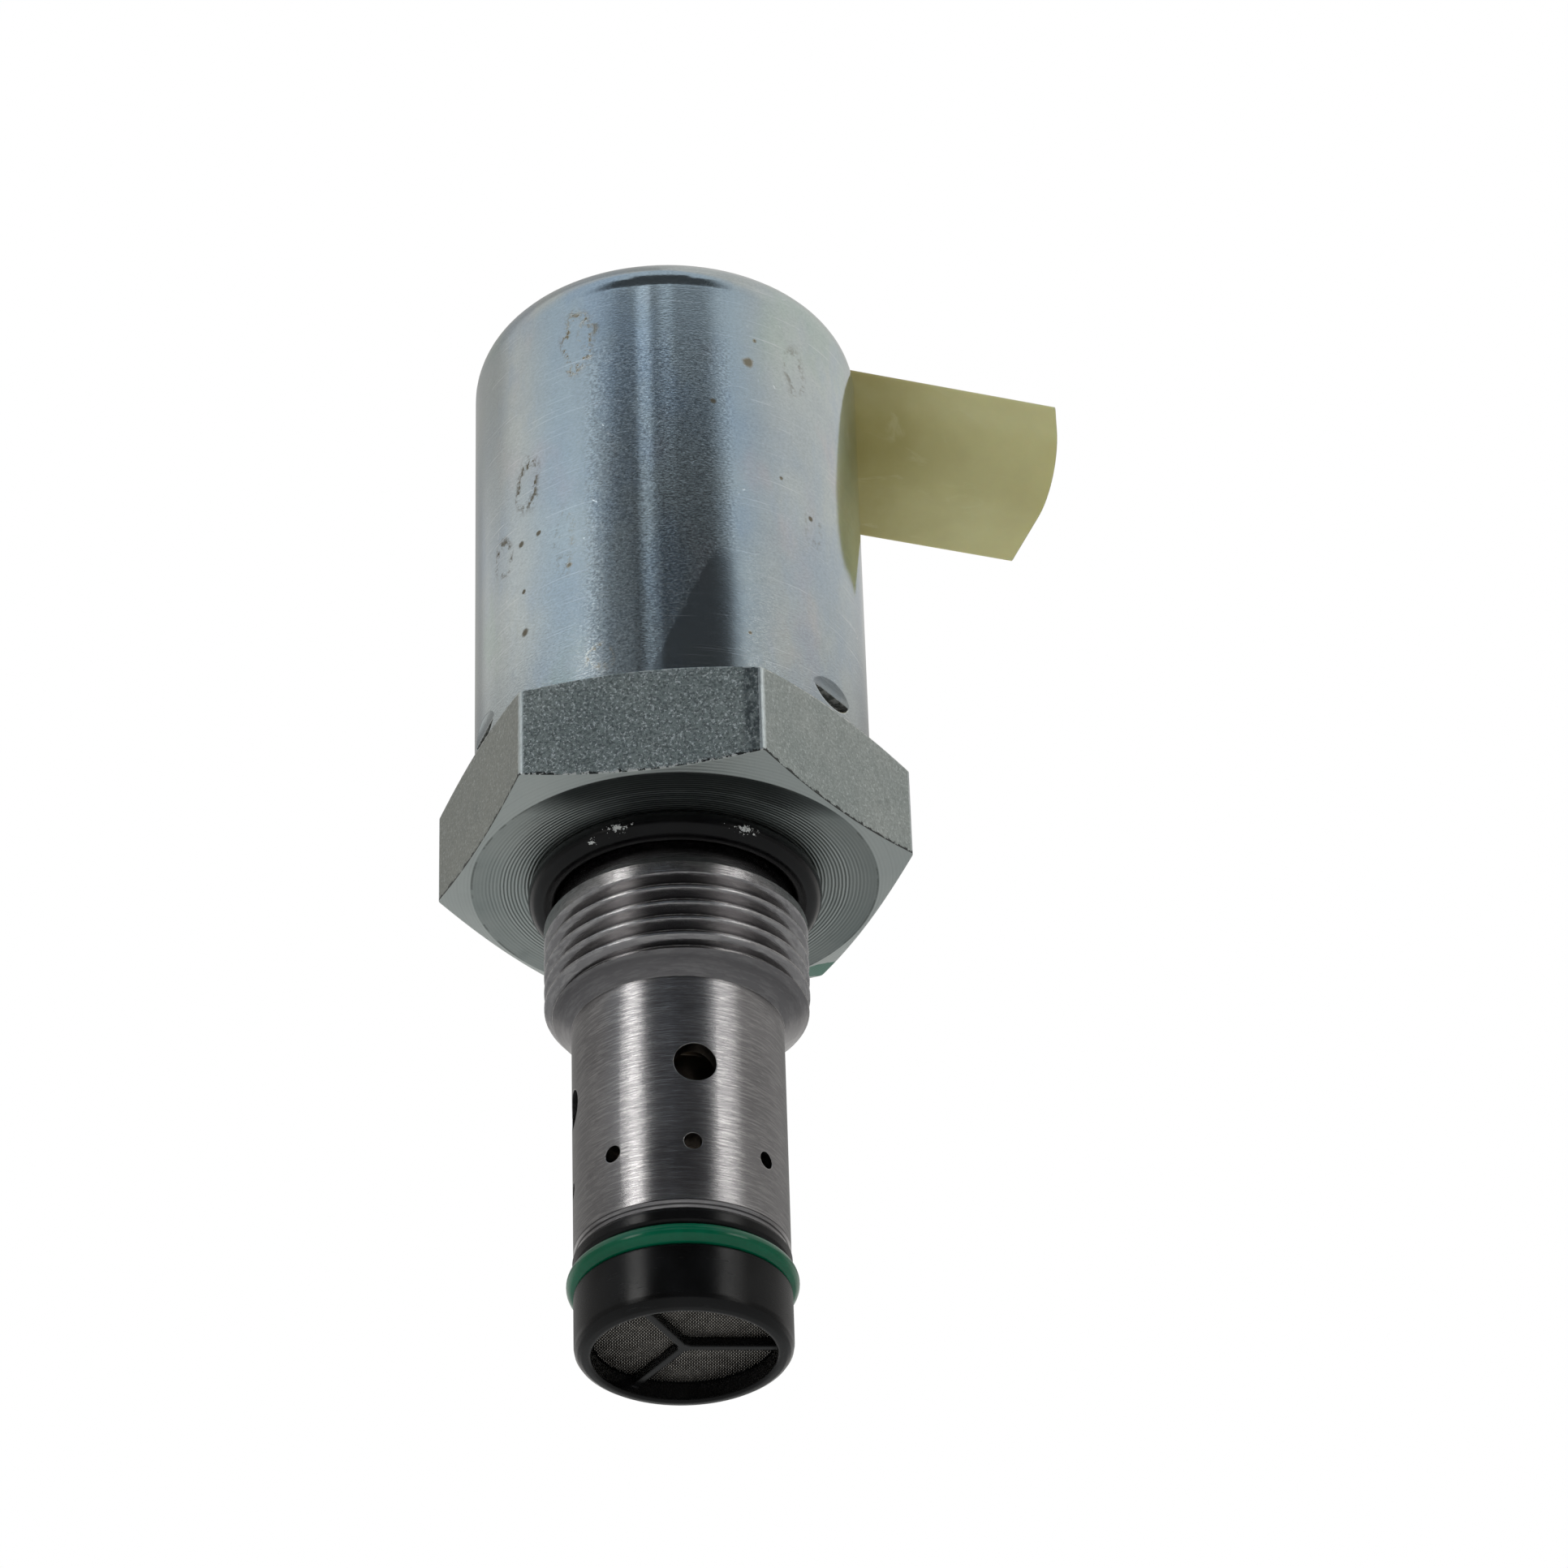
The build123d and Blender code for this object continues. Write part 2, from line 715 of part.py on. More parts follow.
with BuildPart() as connector_housing:
    # moulded disc under the roof of the can
    with BuildSketch(Plane.XZ) as connector_disc:
        with BuildLine():
            Polyline(
                (6.9, 46.5),
                (15.0, 46.5),
                (15.0, 51.0),
                (13.3, 53.5),
                (6.9, 53.5),
                close=True,
            )
        make_face()
    revolve(axis=Axis.Z)
    # arm of keyed section
    extrude(connector_outline(8.0, 0), amount=connector_reach - 8.0)
    # nothing of the arm reaches below the disc inside the can
    with BuildSketch(Plane.XY.offset(connector_bottom - 1)):
        Circle(15.1)
    extrude(amount=46.5 - connector_bottom + 1, mode=Mode.SUBTRACT)
    # socket
    extrude(
        connector_outline(connector_reach - socket_depth, -socket_wall),
        amount=socket_depth,
        mode=Mode.SUBTRACT,
    )
    # latch ramp on the upper side
    with BuildSketch(Plane.XZ.offset(-2.0)) as latch_ramp:
        with BuildLine():
            Polyline(
                (25.0, connector_top),
                (28.4, connector_top + 1.3),
                (29.4, connector_top + 1.3),
                (29.4, connector_top),
                close=True,
            )
        make_face()
    extrude(amount=4.0)
    # two guide ribs in the socket floor and roof
    with BuildSketch(Plane.YZ.offset(connector_reach - socket_depth)) as guide_ribs:
        with Locations((0, connector_top - socket_wall)):
            Rectangle(1.0, 1.0)
        with Locations((3.6, connector_bottom + socket_wall)):
            Rectangle(0.8, 1.0)
    extrude(amount=socket_depth - 3.0)
    # room for the terminals
    add(terminal_pins.part, mode=Mode.SUBTRACT)
connector_housing.part.label = "connector_housing"
export_step(connector_housing.part, "parts/connector_housing.step")


# ================================================================ crimp tools
crimp_arc_radius = (crimp_half_width**2 + crimp_drop**2) / (2 * crimp_drop)


def crimp_plane(bearing, distance, height=0.0):
    """Plane at a distance from the axis that faces outwards at a bearing."""
    outward = Vector(cos(radians(bearing)), sin(radians(bearing)), 0)
    origin = outward * distance + Vector(0, 0, height)
    return Plane(origin=origin, x_dir=(-outward.Y, outward.X, 0), z_dir=outward)


def crimp_crescent(bearing, distance):
    """Outline of one crimp: a straight sheared edge above and a round one below."""
    with BuildSketch(crimp_plane(bearing, distance)) as crescent:
        with Locations((0, crimp_cut_height - crimp_drop + crimp_arc_radius)):
            Circle(crimp_arc_radius)
        with Locations((0, crimp_cut_height)):
            Rectangle(20, 10, align=(Align.CENTER, Align.MAX), mode=Mode.INTERSECT)
    return crescent.sketch


# the crescent pockets seen from outside
with BuildPart() as crimp_pockets:
    for crimp_bearing in crimp_bearings:
        extrude(crimp_crescent(crimp_bearing, can_radius - crimp_depth), amount=crimp_depth + 1)

# the metal that the punch moves inwards, into the groove of the housing
with BuildPart() as crimp_bumps:
    for crimp_bearing in crimp_bearings:
        extrude(crimp_crescent(crimp_bearing, can_radius - can_wall - crimp_depth + 0.1), amount=1.2)

# the shallow half-moon dents above the sheared edges
with BuildPart() as crimp_dents:
    for crimp_bearing in crimp_bearings:
        dent_reach = can_radius - crimp_dent_depth + crimp_dent_radius
        with Locations(crimp_plane(crimp_bearing, dent_reach, crimp_cut_height)):
            Cylinder(crimp_dent_radius, 8, rotation=(0, 90, 0))
    with BuildSketch(Plane.XY.offset(crimp_cut_height)):
        Circle(can_radius + 12)
    extrude(amount=6, mode=Mode.INTERSECT)


# ================================================================ solenoid can
with BuildPart() as coil_can:
    with BuildSketch(Plane.XZ) as can_section:
        with BuildLine():
            Line((can_radius - can_wall, can_bottom), (can_radius - 0.3, can_bottom))
            Line((can_radius - 0.3, can_bottom), (can_radius, can_bottom + 0.3))
            Line((can_radius, can_bottom + 0.3), (can_radius, can_top - can_corner))
            CenterArc((can_radius - can_corner, can_top - can_corner), can_corner, 0, 90)
            Line((can_radius - can_corner, can_top), (6.0, can_top))
            Line((6.0, can_top), (5.4, can_top - 0.5))
            Line((5.4, can_top - 0.5), (0, can_top - 0.5))
            Line((0, can_top - 0.5), (0, can_top - can_roof))
            Line((0, can_top - can_roof), (can_radius - can_corner, can_top - can_roof))
            Line((can_radius - can_corner, can_top - can_roof), (can_radius - can_corner, can_top - can_wall))
            CenterArc((can_radius - can_corner, can_top - can_corner), can_corner - can_wall, 0, 90)
            Line((can_radius - can_wall, can_top - can_corner), (can_radius - can_wall, can_bottom))
        make_face()
    revolve(axis=Axis.Z)
    # window for the connector
    extrude(connector_outline(9.0, 0.1), amount=12.0, mode=Mode.SUBTRACT)
    # three crimps that hold the can to the housing
    add(crimp_bumps.part)
    add(crimp_pockets.part, mode=Mode.SUBTRACT)
    add(crimp_dents.part, mode=Mode.SUBTRACT)
coil_can.part.label = "coil_can"
export_step(coil_can.part, "parts/coil_can.step")
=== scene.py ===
import json
import math

import bpy
import bmesh
from mathutils import Matrix, Vector


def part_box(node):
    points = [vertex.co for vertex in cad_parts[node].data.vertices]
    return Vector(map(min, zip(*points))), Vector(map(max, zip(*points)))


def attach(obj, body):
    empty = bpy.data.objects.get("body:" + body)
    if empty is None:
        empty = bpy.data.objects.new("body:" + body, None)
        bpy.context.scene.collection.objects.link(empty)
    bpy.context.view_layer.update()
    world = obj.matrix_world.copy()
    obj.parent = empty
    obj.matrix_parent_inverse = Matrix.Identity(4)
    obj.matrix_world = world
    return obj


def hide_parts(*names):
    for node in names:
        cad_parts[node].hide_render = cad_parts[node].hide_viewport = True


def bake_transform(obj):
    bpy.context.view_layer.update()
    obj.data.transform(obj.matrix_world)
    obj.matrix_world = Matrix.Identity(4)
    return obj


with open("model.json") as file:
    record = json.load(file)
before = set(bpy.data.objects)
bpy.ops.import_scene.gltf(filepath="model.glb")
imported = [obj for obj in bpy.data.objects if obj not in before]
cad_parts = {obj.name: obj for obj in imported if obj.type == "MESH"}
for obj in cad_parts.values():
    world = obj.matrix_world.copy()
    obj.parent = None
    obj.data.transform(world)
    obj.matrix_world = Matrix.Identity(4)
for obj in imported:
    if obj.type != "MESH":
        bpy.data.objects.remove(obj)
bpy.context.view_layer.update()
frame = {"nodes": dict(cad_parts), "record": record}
nodes = frame["nodes"]

MM = 0.001
VIEW = -107.87  # bearing of the side that faces the camera, in degrees from the connector


# ------------------------------------------------------------------ node helpers
class Graph:
    """Thin wrapper that adds shader nodes and wires them in one call."""

    def __init__(self, tree, coordinates):
        self.nodes = tree.nodes
        self.links = tree.links
        self.nodes.clear()
        self.coord = self.nodes.new("ShaderNodeTexCoord").outputs[coordinates]

    def put(self, socket, value):
        """Wire an output into a socket, or set the socket to a constant."""
        if isinstance(value, bpy.types.NodeSocket):
            self.links.new(value, socket)
        else:
            socket.default_value = value

    def math(self, op, a, b=0.0, clamp=False):
        n = self.nodes.new("ShaderNodeMath")
        n.operation = op
        n.use_clamp = clamp
        self.put(n.inputs[0], a)
        self.put(n.inputs[1], b)
        return n.outputs[0]

    def add(self, a, b):
        return self.math("ADD", a, b)

    def sub(self, a, b):
        return self.math("SUBTRACT", a, b)

    def mul(self, a, b):
        return self.math("MULTIPLY", a, b)

    def most(self, a, b):
        return self.math("MAXIMUM", a, b)

    def vmath(self, op, a, b=(0, 0, 0)):
        n = self.nodes.new("ShaderNodeVectorMath")
        n.operation = op
        self.put(n.inputs[0], a)
        self.put(n.inputs[1], b)
        return n.outputs["Value"] if op in ("LENGTH", "DOT_PRODUCT") else n.outputs[0]

    def step(self, v, low, high, to_low=0.0, to_high=1.0):
        """A smooth step from to_low, where v is low, to to_high, where v is high."""
        n = self.nodes.new("ShaderNodeMapRange")
        n.interpolation_type = "SMOOTHSTEP"
        self.put(n.inputs["Value"], v)
        n.inputs["From Min"].default_value = low
        n.inputs["From Max"].default_value = high
        n.inputs["To Min"].default_value = to_low
        n.inputs["To Max"].default_value = to_high
        return n.outputs[0]

    def above(self, v, limit, soft):
        """1 where v is above a limit, 0 below it, with a blur of soft on both sides."""
        return self.step(v, limit - soft, limit + soft)

    def below(self, v, limit, soft):
        return self.step(v, limit + soft, limit - soft)

    def line(self, v, centre, half):
        """1 on a line of the given half width about a centre, fading to 0 from half that width."""
        return self.step(self.math("ABSOLUTE", self.sub(v, centre)), half, half * 0.5)

    def toward(self, bearing):
        """Share of the coordinate that lies along a horizontal bearing in degrees."""
        return self.vmath("DOT_PRODUCT", self.coord, level_direction(bearing))

    def mix(self, fac, a, b):
        n = self.nodes.new("ShaderNodeMix")
        n.data_type = "RGBA"
        n.clamp_factor = True
        self.put(n.inputs[0], fac)
        for sock, v in ((n.inputs[6], a), (n.inputs[7], b)):
            self.put(sock, (*v, 1.0) if isinstance(v, tuple) else v)
        return n.outputs[2]


class Look(Graph):
    """A material's graph in object space, ending in one Principled shader."""

    INPUTS = {
        "color": "Base Color", "rough": "Roughness", "metal": "Metallic", "normal": "Normal",
        "spec": "Specular IOR Level", "ior": "IOR", "aniso": "Anisotropic", "tangent": "Tangent",
        "sss": "Subsurface Weight", "sss_radius": "Subsurface Radius", "sss_scale": "Subsurface Scale",
    }

    def __init__(self, name):
        self.mat = bpy.data.materials.new(name)
        self.mat.use_nodes = True
        super().__init__(self.mat.node_tree, "Object")
        self.bsdf = self.nodes.new("ShaderNodeBsdfPrincipled")
        out = self.nodes.new("ShaderNodeOutputMaterial")
        self.links.new(self.bsdf.outputs[0], out.inputs[0])

    def set(self, **values):
        for key, v in values.items():
            self.put(self.bsdf.inputs[self.INPUTS[key]], v)
        return self.mat

    def stain(self, base, mask, share, color):
        """The base colour with a share of another colour laid over it where the mask is 1."""
        return self.mix(self.mul(mask, share), base, color)

    def split(self, v):
        n = self.nodes.new("ShaderNodeSeparateXYZ")
        self.put(n.inputs[0], v)
        return n.outputs[0], n.outputs[1], n.outputs[2]

    def noise_at(self, place, detail, rough, distort=0.0):
        n = self.nodes.new("ShaderNodeTexNoise")
        n.inputs["Scale"].default_value = 1.0
        n.inputs["Detail"].default_value = detail
        n.inputs["Roughness"].default_value = rough
        n.inputs["Distortion"].default_value = distort
        self.put(n.inputs["Vector"], place)
        return n.outputs["Fac"]

    def noise(self, scale, detail=3.0, rough=0.5, stretch=(1, 1, 1), distort=0.0, offset=(0, 0, 0)):
        """Noise in object space. Its scale is in cycles per millimetre."""
        m = self.nodes.new("ShaderNodeMapping")
        self.put(m.inputs[0], self.coord)
        m.inputs["Location"].default_value = offset
        m.inputs["Scale"].default_value = [scale * s / MM for s in stretch]
        return self.noise_at(m.outputs[0], detail, rough, distort)

    def rings(self, scale, detail, rough):
        """Noise that depends on the distance from the axis only: turning marks on a flat face."""
        c = self.nodes.new("ShaderNodeCombineXYZ")
        self.put(c.inputs[0], self.mul(self.radius()[0], scale))
        return self.noise_at(c.outputs[0], detail, rough)

    def wobble(self, noise, size):
        """A noise centred on 0, times a size."""
        return self.mul(self.sub(noise, 0.5), size)

    def facing(self, bearing, low=0.90, high=0.97):
        """1 on surfaces that face a bearing in degrees."""
        normal = self.nodes.new("ShaderNodeTexCoord").outputs["Normal"]
        return self.step(self.vmath("DOT_PRODUCT", normal, level_direction(bearing)), low, high)

    def along(self, bearing):
        """Distance in millimetres along the horizontal direction of a bearing."""
        return self.mul(self.toward(bearing), 1 / MM)

    def radius(self):
        """Distance from the axis and height, in millimetres."""
        x, y, z = self.split(self.coord)
        rr = self.add(self.mul(x, x), self.mul(y, y))
        return self.mul(self.math("SQRT", rr), 1 / MM), self.mul(z, 1 / MM)

    def spot(self, centre, size, wobble, stretch=(1, 1, 1)):
        """Distance field of a ragged patch: 0 at its centre, 1 at its outline. All in millimetres."""
        d = self.vmath("SUBTRACT", self.coord, tuple(c * MM for c in centre))
        d = self.vmath("MULTIPLY", d, tuple(1 / (MM * size * s) for s in stretch))
        return self.add(self.vmath("LENGTH", d), wobble)

    def bump(self, height, strength, distance, normal=None):
        n = self.nodes.new("ShaderNodeBump")
        n.inputs["Strength"].default_value = strength
        n.inputs["Distance"].default_value = distance
        self.put(n.inputs["Height"], height)
        if normal is not None:
            self.put(n.inputs["Normal"], normal)
        return n.outputs[0]

    def edge(self, radius):
        """Normal with softened edges, and how much it differs from the flat one."""
        n = self.nodes.new("ShaderNodeBevel")
        n.samples = 6
        n.inputs["Radius"].default_value = radius
        g = self.nodes.new("ShaderNodeNewGeometry")
        d = self.vmath("DOT_PRODUCT", n.outputs[0], g.outputs["Normal"])
        return n.outputs[0], self.sub(1.0, d)

    def round_tangent(self):
        """The direction around the axis, along which turned steel is brushed."""
        t = self.nodes.new("ShaderNodeTangent")
        t.direction_type = "RADIAL"
        t.axis = "Z"
        return t.outputs[0]


def level_direction(bearing):
    a = math.radians(bearing)
    return (math.cos(a), math.sin(a), 0.0)


# ------------------------------------------------------------------ zinc-plated can
CAN_RADIUS = 16.78
# the polished patch lies under a slanting line, below a height and left of an edge (mm)
PATCH_SLOPE = 2.25
PATCH_START = 14.2
PATCH_TOP = 23.0
PATCH_EDGE = 5.9
# the crescent pockets of the crimps, painted as shade, and the bright lip around them (mm)
POCKET_RADIUS = 16.70
POCKET_TOP = 12.43
POCKET_FOOT = 10.65
LIP_FOOT = 10.8
LIP_TOP = 14.25
# the grain is plainest below this height (mm)
GRAIN_TOP = 45.25
# water marks left on the can: bearing, height, half width, half height (mm), strength
CAN_LOOPS = (
    (-134.5, 46.2, 1.35, 3.5, 1.0), (-130.9, 47.0, 0.8, 1.5, 0.7), (-153.0, 33.2, 1.3, 2.6, 1.0),
    (-164.5, 27.6, 1.3, 2.3, 1.0), (-139.0, 25.8, 0.9, 3.0, 0.45), (-66.0, 44.6, 1.1, 2.3, 0.5),
    (-128.0, 12.6, 1.2, 1.3, 0.9), (-60.5, 28.5, 0.9, 1.6, 0.35), (18.0, 31.0, 1.6, 2.8, 0.9),
    (95.0, 44.0, 1.5, 3.0, 0.8), (126.0, 24.0, 1.2, 2.4, 0.8), (162.0, 38.0, 1.4, 2.2, 0.7),
)
# small dark specks: bearing, height, radius (mm)
CAN_SPECKS = (
    (-82.6, 43.7, 0.55), (-80.2, 46.2, 0.30), (-155.7, 27.6, 0.35), (-148.5, 27.7, 0.25),
    (-154.2, 18.2, 0.40), (-72.5, 32.3, 0.22), (-93.9, 38.7, 0.30), (-61.5, 29.5, 0.25),
    (-154.6, 22.5, 0.25), (-137.5, 23.0, 0.35), (-84.5, 15.0, 0.2), (40.0, 20.0, 0.4), (110.0, 33.0, 0.4),
)


def on_can(bearing, height):
    a = math.radians(bearing)
    return (CAN_RADIUS * math.cos(a), CAN_RADIUS * math.sin(a), height)


def can_marks(g):
    """Brown-grey rims of dried drops and a few specks, 0 to 1."""
    ragged = g.wobble(g.noise(0.6, 5, 0.7), 2.1)
    flecks = g.step(g.noise(1.2, 5, 0.8), 0.45, 0.62)
    marks = None
    for bearing, height, wide, tall, strength in CAN_LOOPS:
        d = g.spot(on_can(bearing, height), 1.0, ragged, stretch=(wide, wide, tall))
        rim = g.step(g.math("ABSOLUTE", g.sub(d, 1.0)), 0.42 / wide, 0.0, 0.0, strength)
        rim = g.mul(rim, flecks)
        marks = rim if marks is None else g.most(marks, rim)
    for bearing, height, size in CAN_SPECKS:
        d = g.spot(on_can(bearing, height), size, ragged)
        marks = g.most(marks, g.step(d, 1.2, 0.5, 0.0, 0.85))
    return marks


def polished_patch_painted_dark(g, z):
    """The smooth corner low on the can, on the side facing the camera, bounded by a slanting line; the
    can is also painted dark there as a painted reflection.
    """
    side = g.along(VIEW + 90)
    ragged = g.wobble(g.noise(0.5, 5, 0.7), 2.0)
    slant = g.add(g.mul(side, PATCH_SLOPE), PATCH_START)
    gap = g.add(g.sub(slant, z), ragged)
    patch = g.mul(g.above(gap, 0.0, 0.35), g.below(z, PATCH_TOP, 1.5))
    patch = g.mul(patch, g.below(g.add(side, ragged), PATCH_EDGE, 0.7))
    return g.mul(patch, g.facing(VIEW, 0.85, 0.90))


def crimp_shadow(g, r, z):
    """Painted shade inside the crescent pockets of the crimps, on the sheared steel."""
    inside = g.mul(g.below(r, POCKET_RADIUS, 0.04), g.below(z, POCKET_TOP, 0.03))
    return g.mul(inside, g.above(z, POCKET_FOOT, 0.05))


def zinc_can():
    g = Look("zinc_can")
    r, z = g.radius()
    grain = g.noise(3.4, 3, 0.65, (1, 1, 1.9))
    fine = g.noise(3.7, 4, 0.75, (1, 1, 1.7), offset=(1, 4, 2))
    wave = g.noise(0.30, 3, 0.55, (1, 1, 0.45), offset=(3, 1, 2))
    cloud = g.noise(0.07, 4, 0.55)
    mottle = g.noise(0.30, 5, 0.65, offset=(4, 4, 8))
    tint = g.noise(0.085, 4, 0.55, (1, 1, 0.55), offset=(7, 2, 9))
    blue = g.noise(0.16, 4, 0.6, (1, 1, 0.4), offset=(2, 9, 4))
    base = g.mix(g.step(cloud, 0.3, 0.7), (0.475, 0.545, 0.585), (0.575, 0.625, 0.62))
    base = g.stain(base, g.step(tint, 0.54, 0.66), 0.40, (0.64, 0.56, 0.575))
    base = g.stain(base, g.step(tint, 0.46, 0.34), 0.50, (0.48, 0.59, 0.52))
    base = g.stain(base, g.step(blue, 0.48, 0.66), 0.42, (0.41, 0.51, 0.63))
    base = g.stain(base, g.step(mottle, 0.50, 0.66), 0.14, (0.40, 0.44, 0.47))
    smooth = polished_patch_painted_dark(g, z)
    # scaly grain, plainest on the side that faces the camera: real grain, whose pale and dark flecks
    # there are painted sparkle and shade in its dark reflection
    flat = g.facing(VIEW - 2, 0.915, 0.945)
    flat = g.mul(flat, g.sub(1.0, smooth))
    flat = g.add(0.16, g.mul(flat, g.step(z, GRAIN_TOP + 1.75, GRAIN_TOP - 1.75, 0.08, 0.60)))
    base = g.mix(g.mul(g.step(fine, 0.50, 0.60), g.mul(flat, 0.75)), base, (0.86, 0.92, 0.93))
    base = g.mix(g.mul(g.step(fine, 0.48, 0.38), g.mul(flat, 0.70)), base, (0.16, 0.175, 0.18))
    # painted reflection: the smooth patch is painted dark
    base = g.stain(base, smooth, 0.55, (0.22, 0.24, 0.25))
    marks = can_marks(g)
    base = g.mix(marks, base, (0.17, 0.135, 0.075))
    normal, worn = g.edge(0.18 * MM)
    scratches = g.step(g.noise(0.9, 1, 0.3, (0.15, 0.15, 9.0), distort=0.4), 0.69, 0.73)
    nicks = g.step(g.noise(0.45, 2, 0.5, (1, 1, 0.6), distort=3.0, offset=(2, 6, 3)), 0.745, 0.76)
    base = g.stain(base, g.most(scratches, nicks), 0.4, (0.85, 0.88, 0.90))
    # the hazy grain scatters more light than the metal between it
    rubs = g.mul(g.step(g.noise(2.2, 4, 0.75, (1, 1, 0.6), offset=(6, 2, 6)), 0.60, 0.70), smooth)
    haze = g.mul(g.step(grain, 0.46, 0.60), g.sub(1.0, smooth))
    haze = g.most(haze, rubs)
    rough = g.add(0.078, g.mul(haze, 0.045))
    rough = g.add(rough, g.mul(marks, 0.30))
    # painted shade in the crimp pockets: dark grey, streaked like sheared steel, and less metallic
    pocket_shade = crimp_shadow(g, r, z)
    shear = g.step(g.noise(2.0, 3, 0.6, (1, 1, 6), offset=(3, 3, 7)), 0.4, 0.7)
    base = g.mix(pocket_shade, base, g.mix(shear, (0.14, 0.145, 0.135), (0.50, 0.51, 0.48)))
    lip = g.mul(g.step(worn, 0.03, 0.10), g.step(g.noise(2.5, 3, 0.7, offset=(5, 1, 1)), 0.50, 0.60))
    lip = g.mul(lip, g.mul(g.above(z, LIP_FOOT, 0.1), g.below(z, LIP_TOP, 0.25)))
    base = g.stain(base, lip, 0.9, (0.80, 0.80, 0.78))
    h = g.add(g.mul(grain, 0.45), g.mul(wave, 1.1))
    h = g.sub(h, g.mul(nicks, 0.3))
    metal = g.sub(0.94, g.mul(pocket_shade, 0.85))
    return g.set(color=base, metal=metal, rough=rough, normal=g.bump(h, 0.19, 0.04 * MM, normal))


# ------------------------------------------------------------------ zinc-plated hexagon
HEX_FRONT = -116.15  # bearing of the flat that faces the camera
HEX_HEIGHT = 10.1
HEX_CORNER = 20.0025
HEX_FACE_RADIUS = 17.1
HEX_CHAMFER_RISE = 0.31
TURNING_PITCH = 0.30
RIM_RADIUS = 17.0
# the rubbed band at the right end of the front flat, from its middle (mm)
BAND_START = 8.55
BAND_END = 9.925
PAINT_CENTRE = (16.6, 9.8, 0.35)


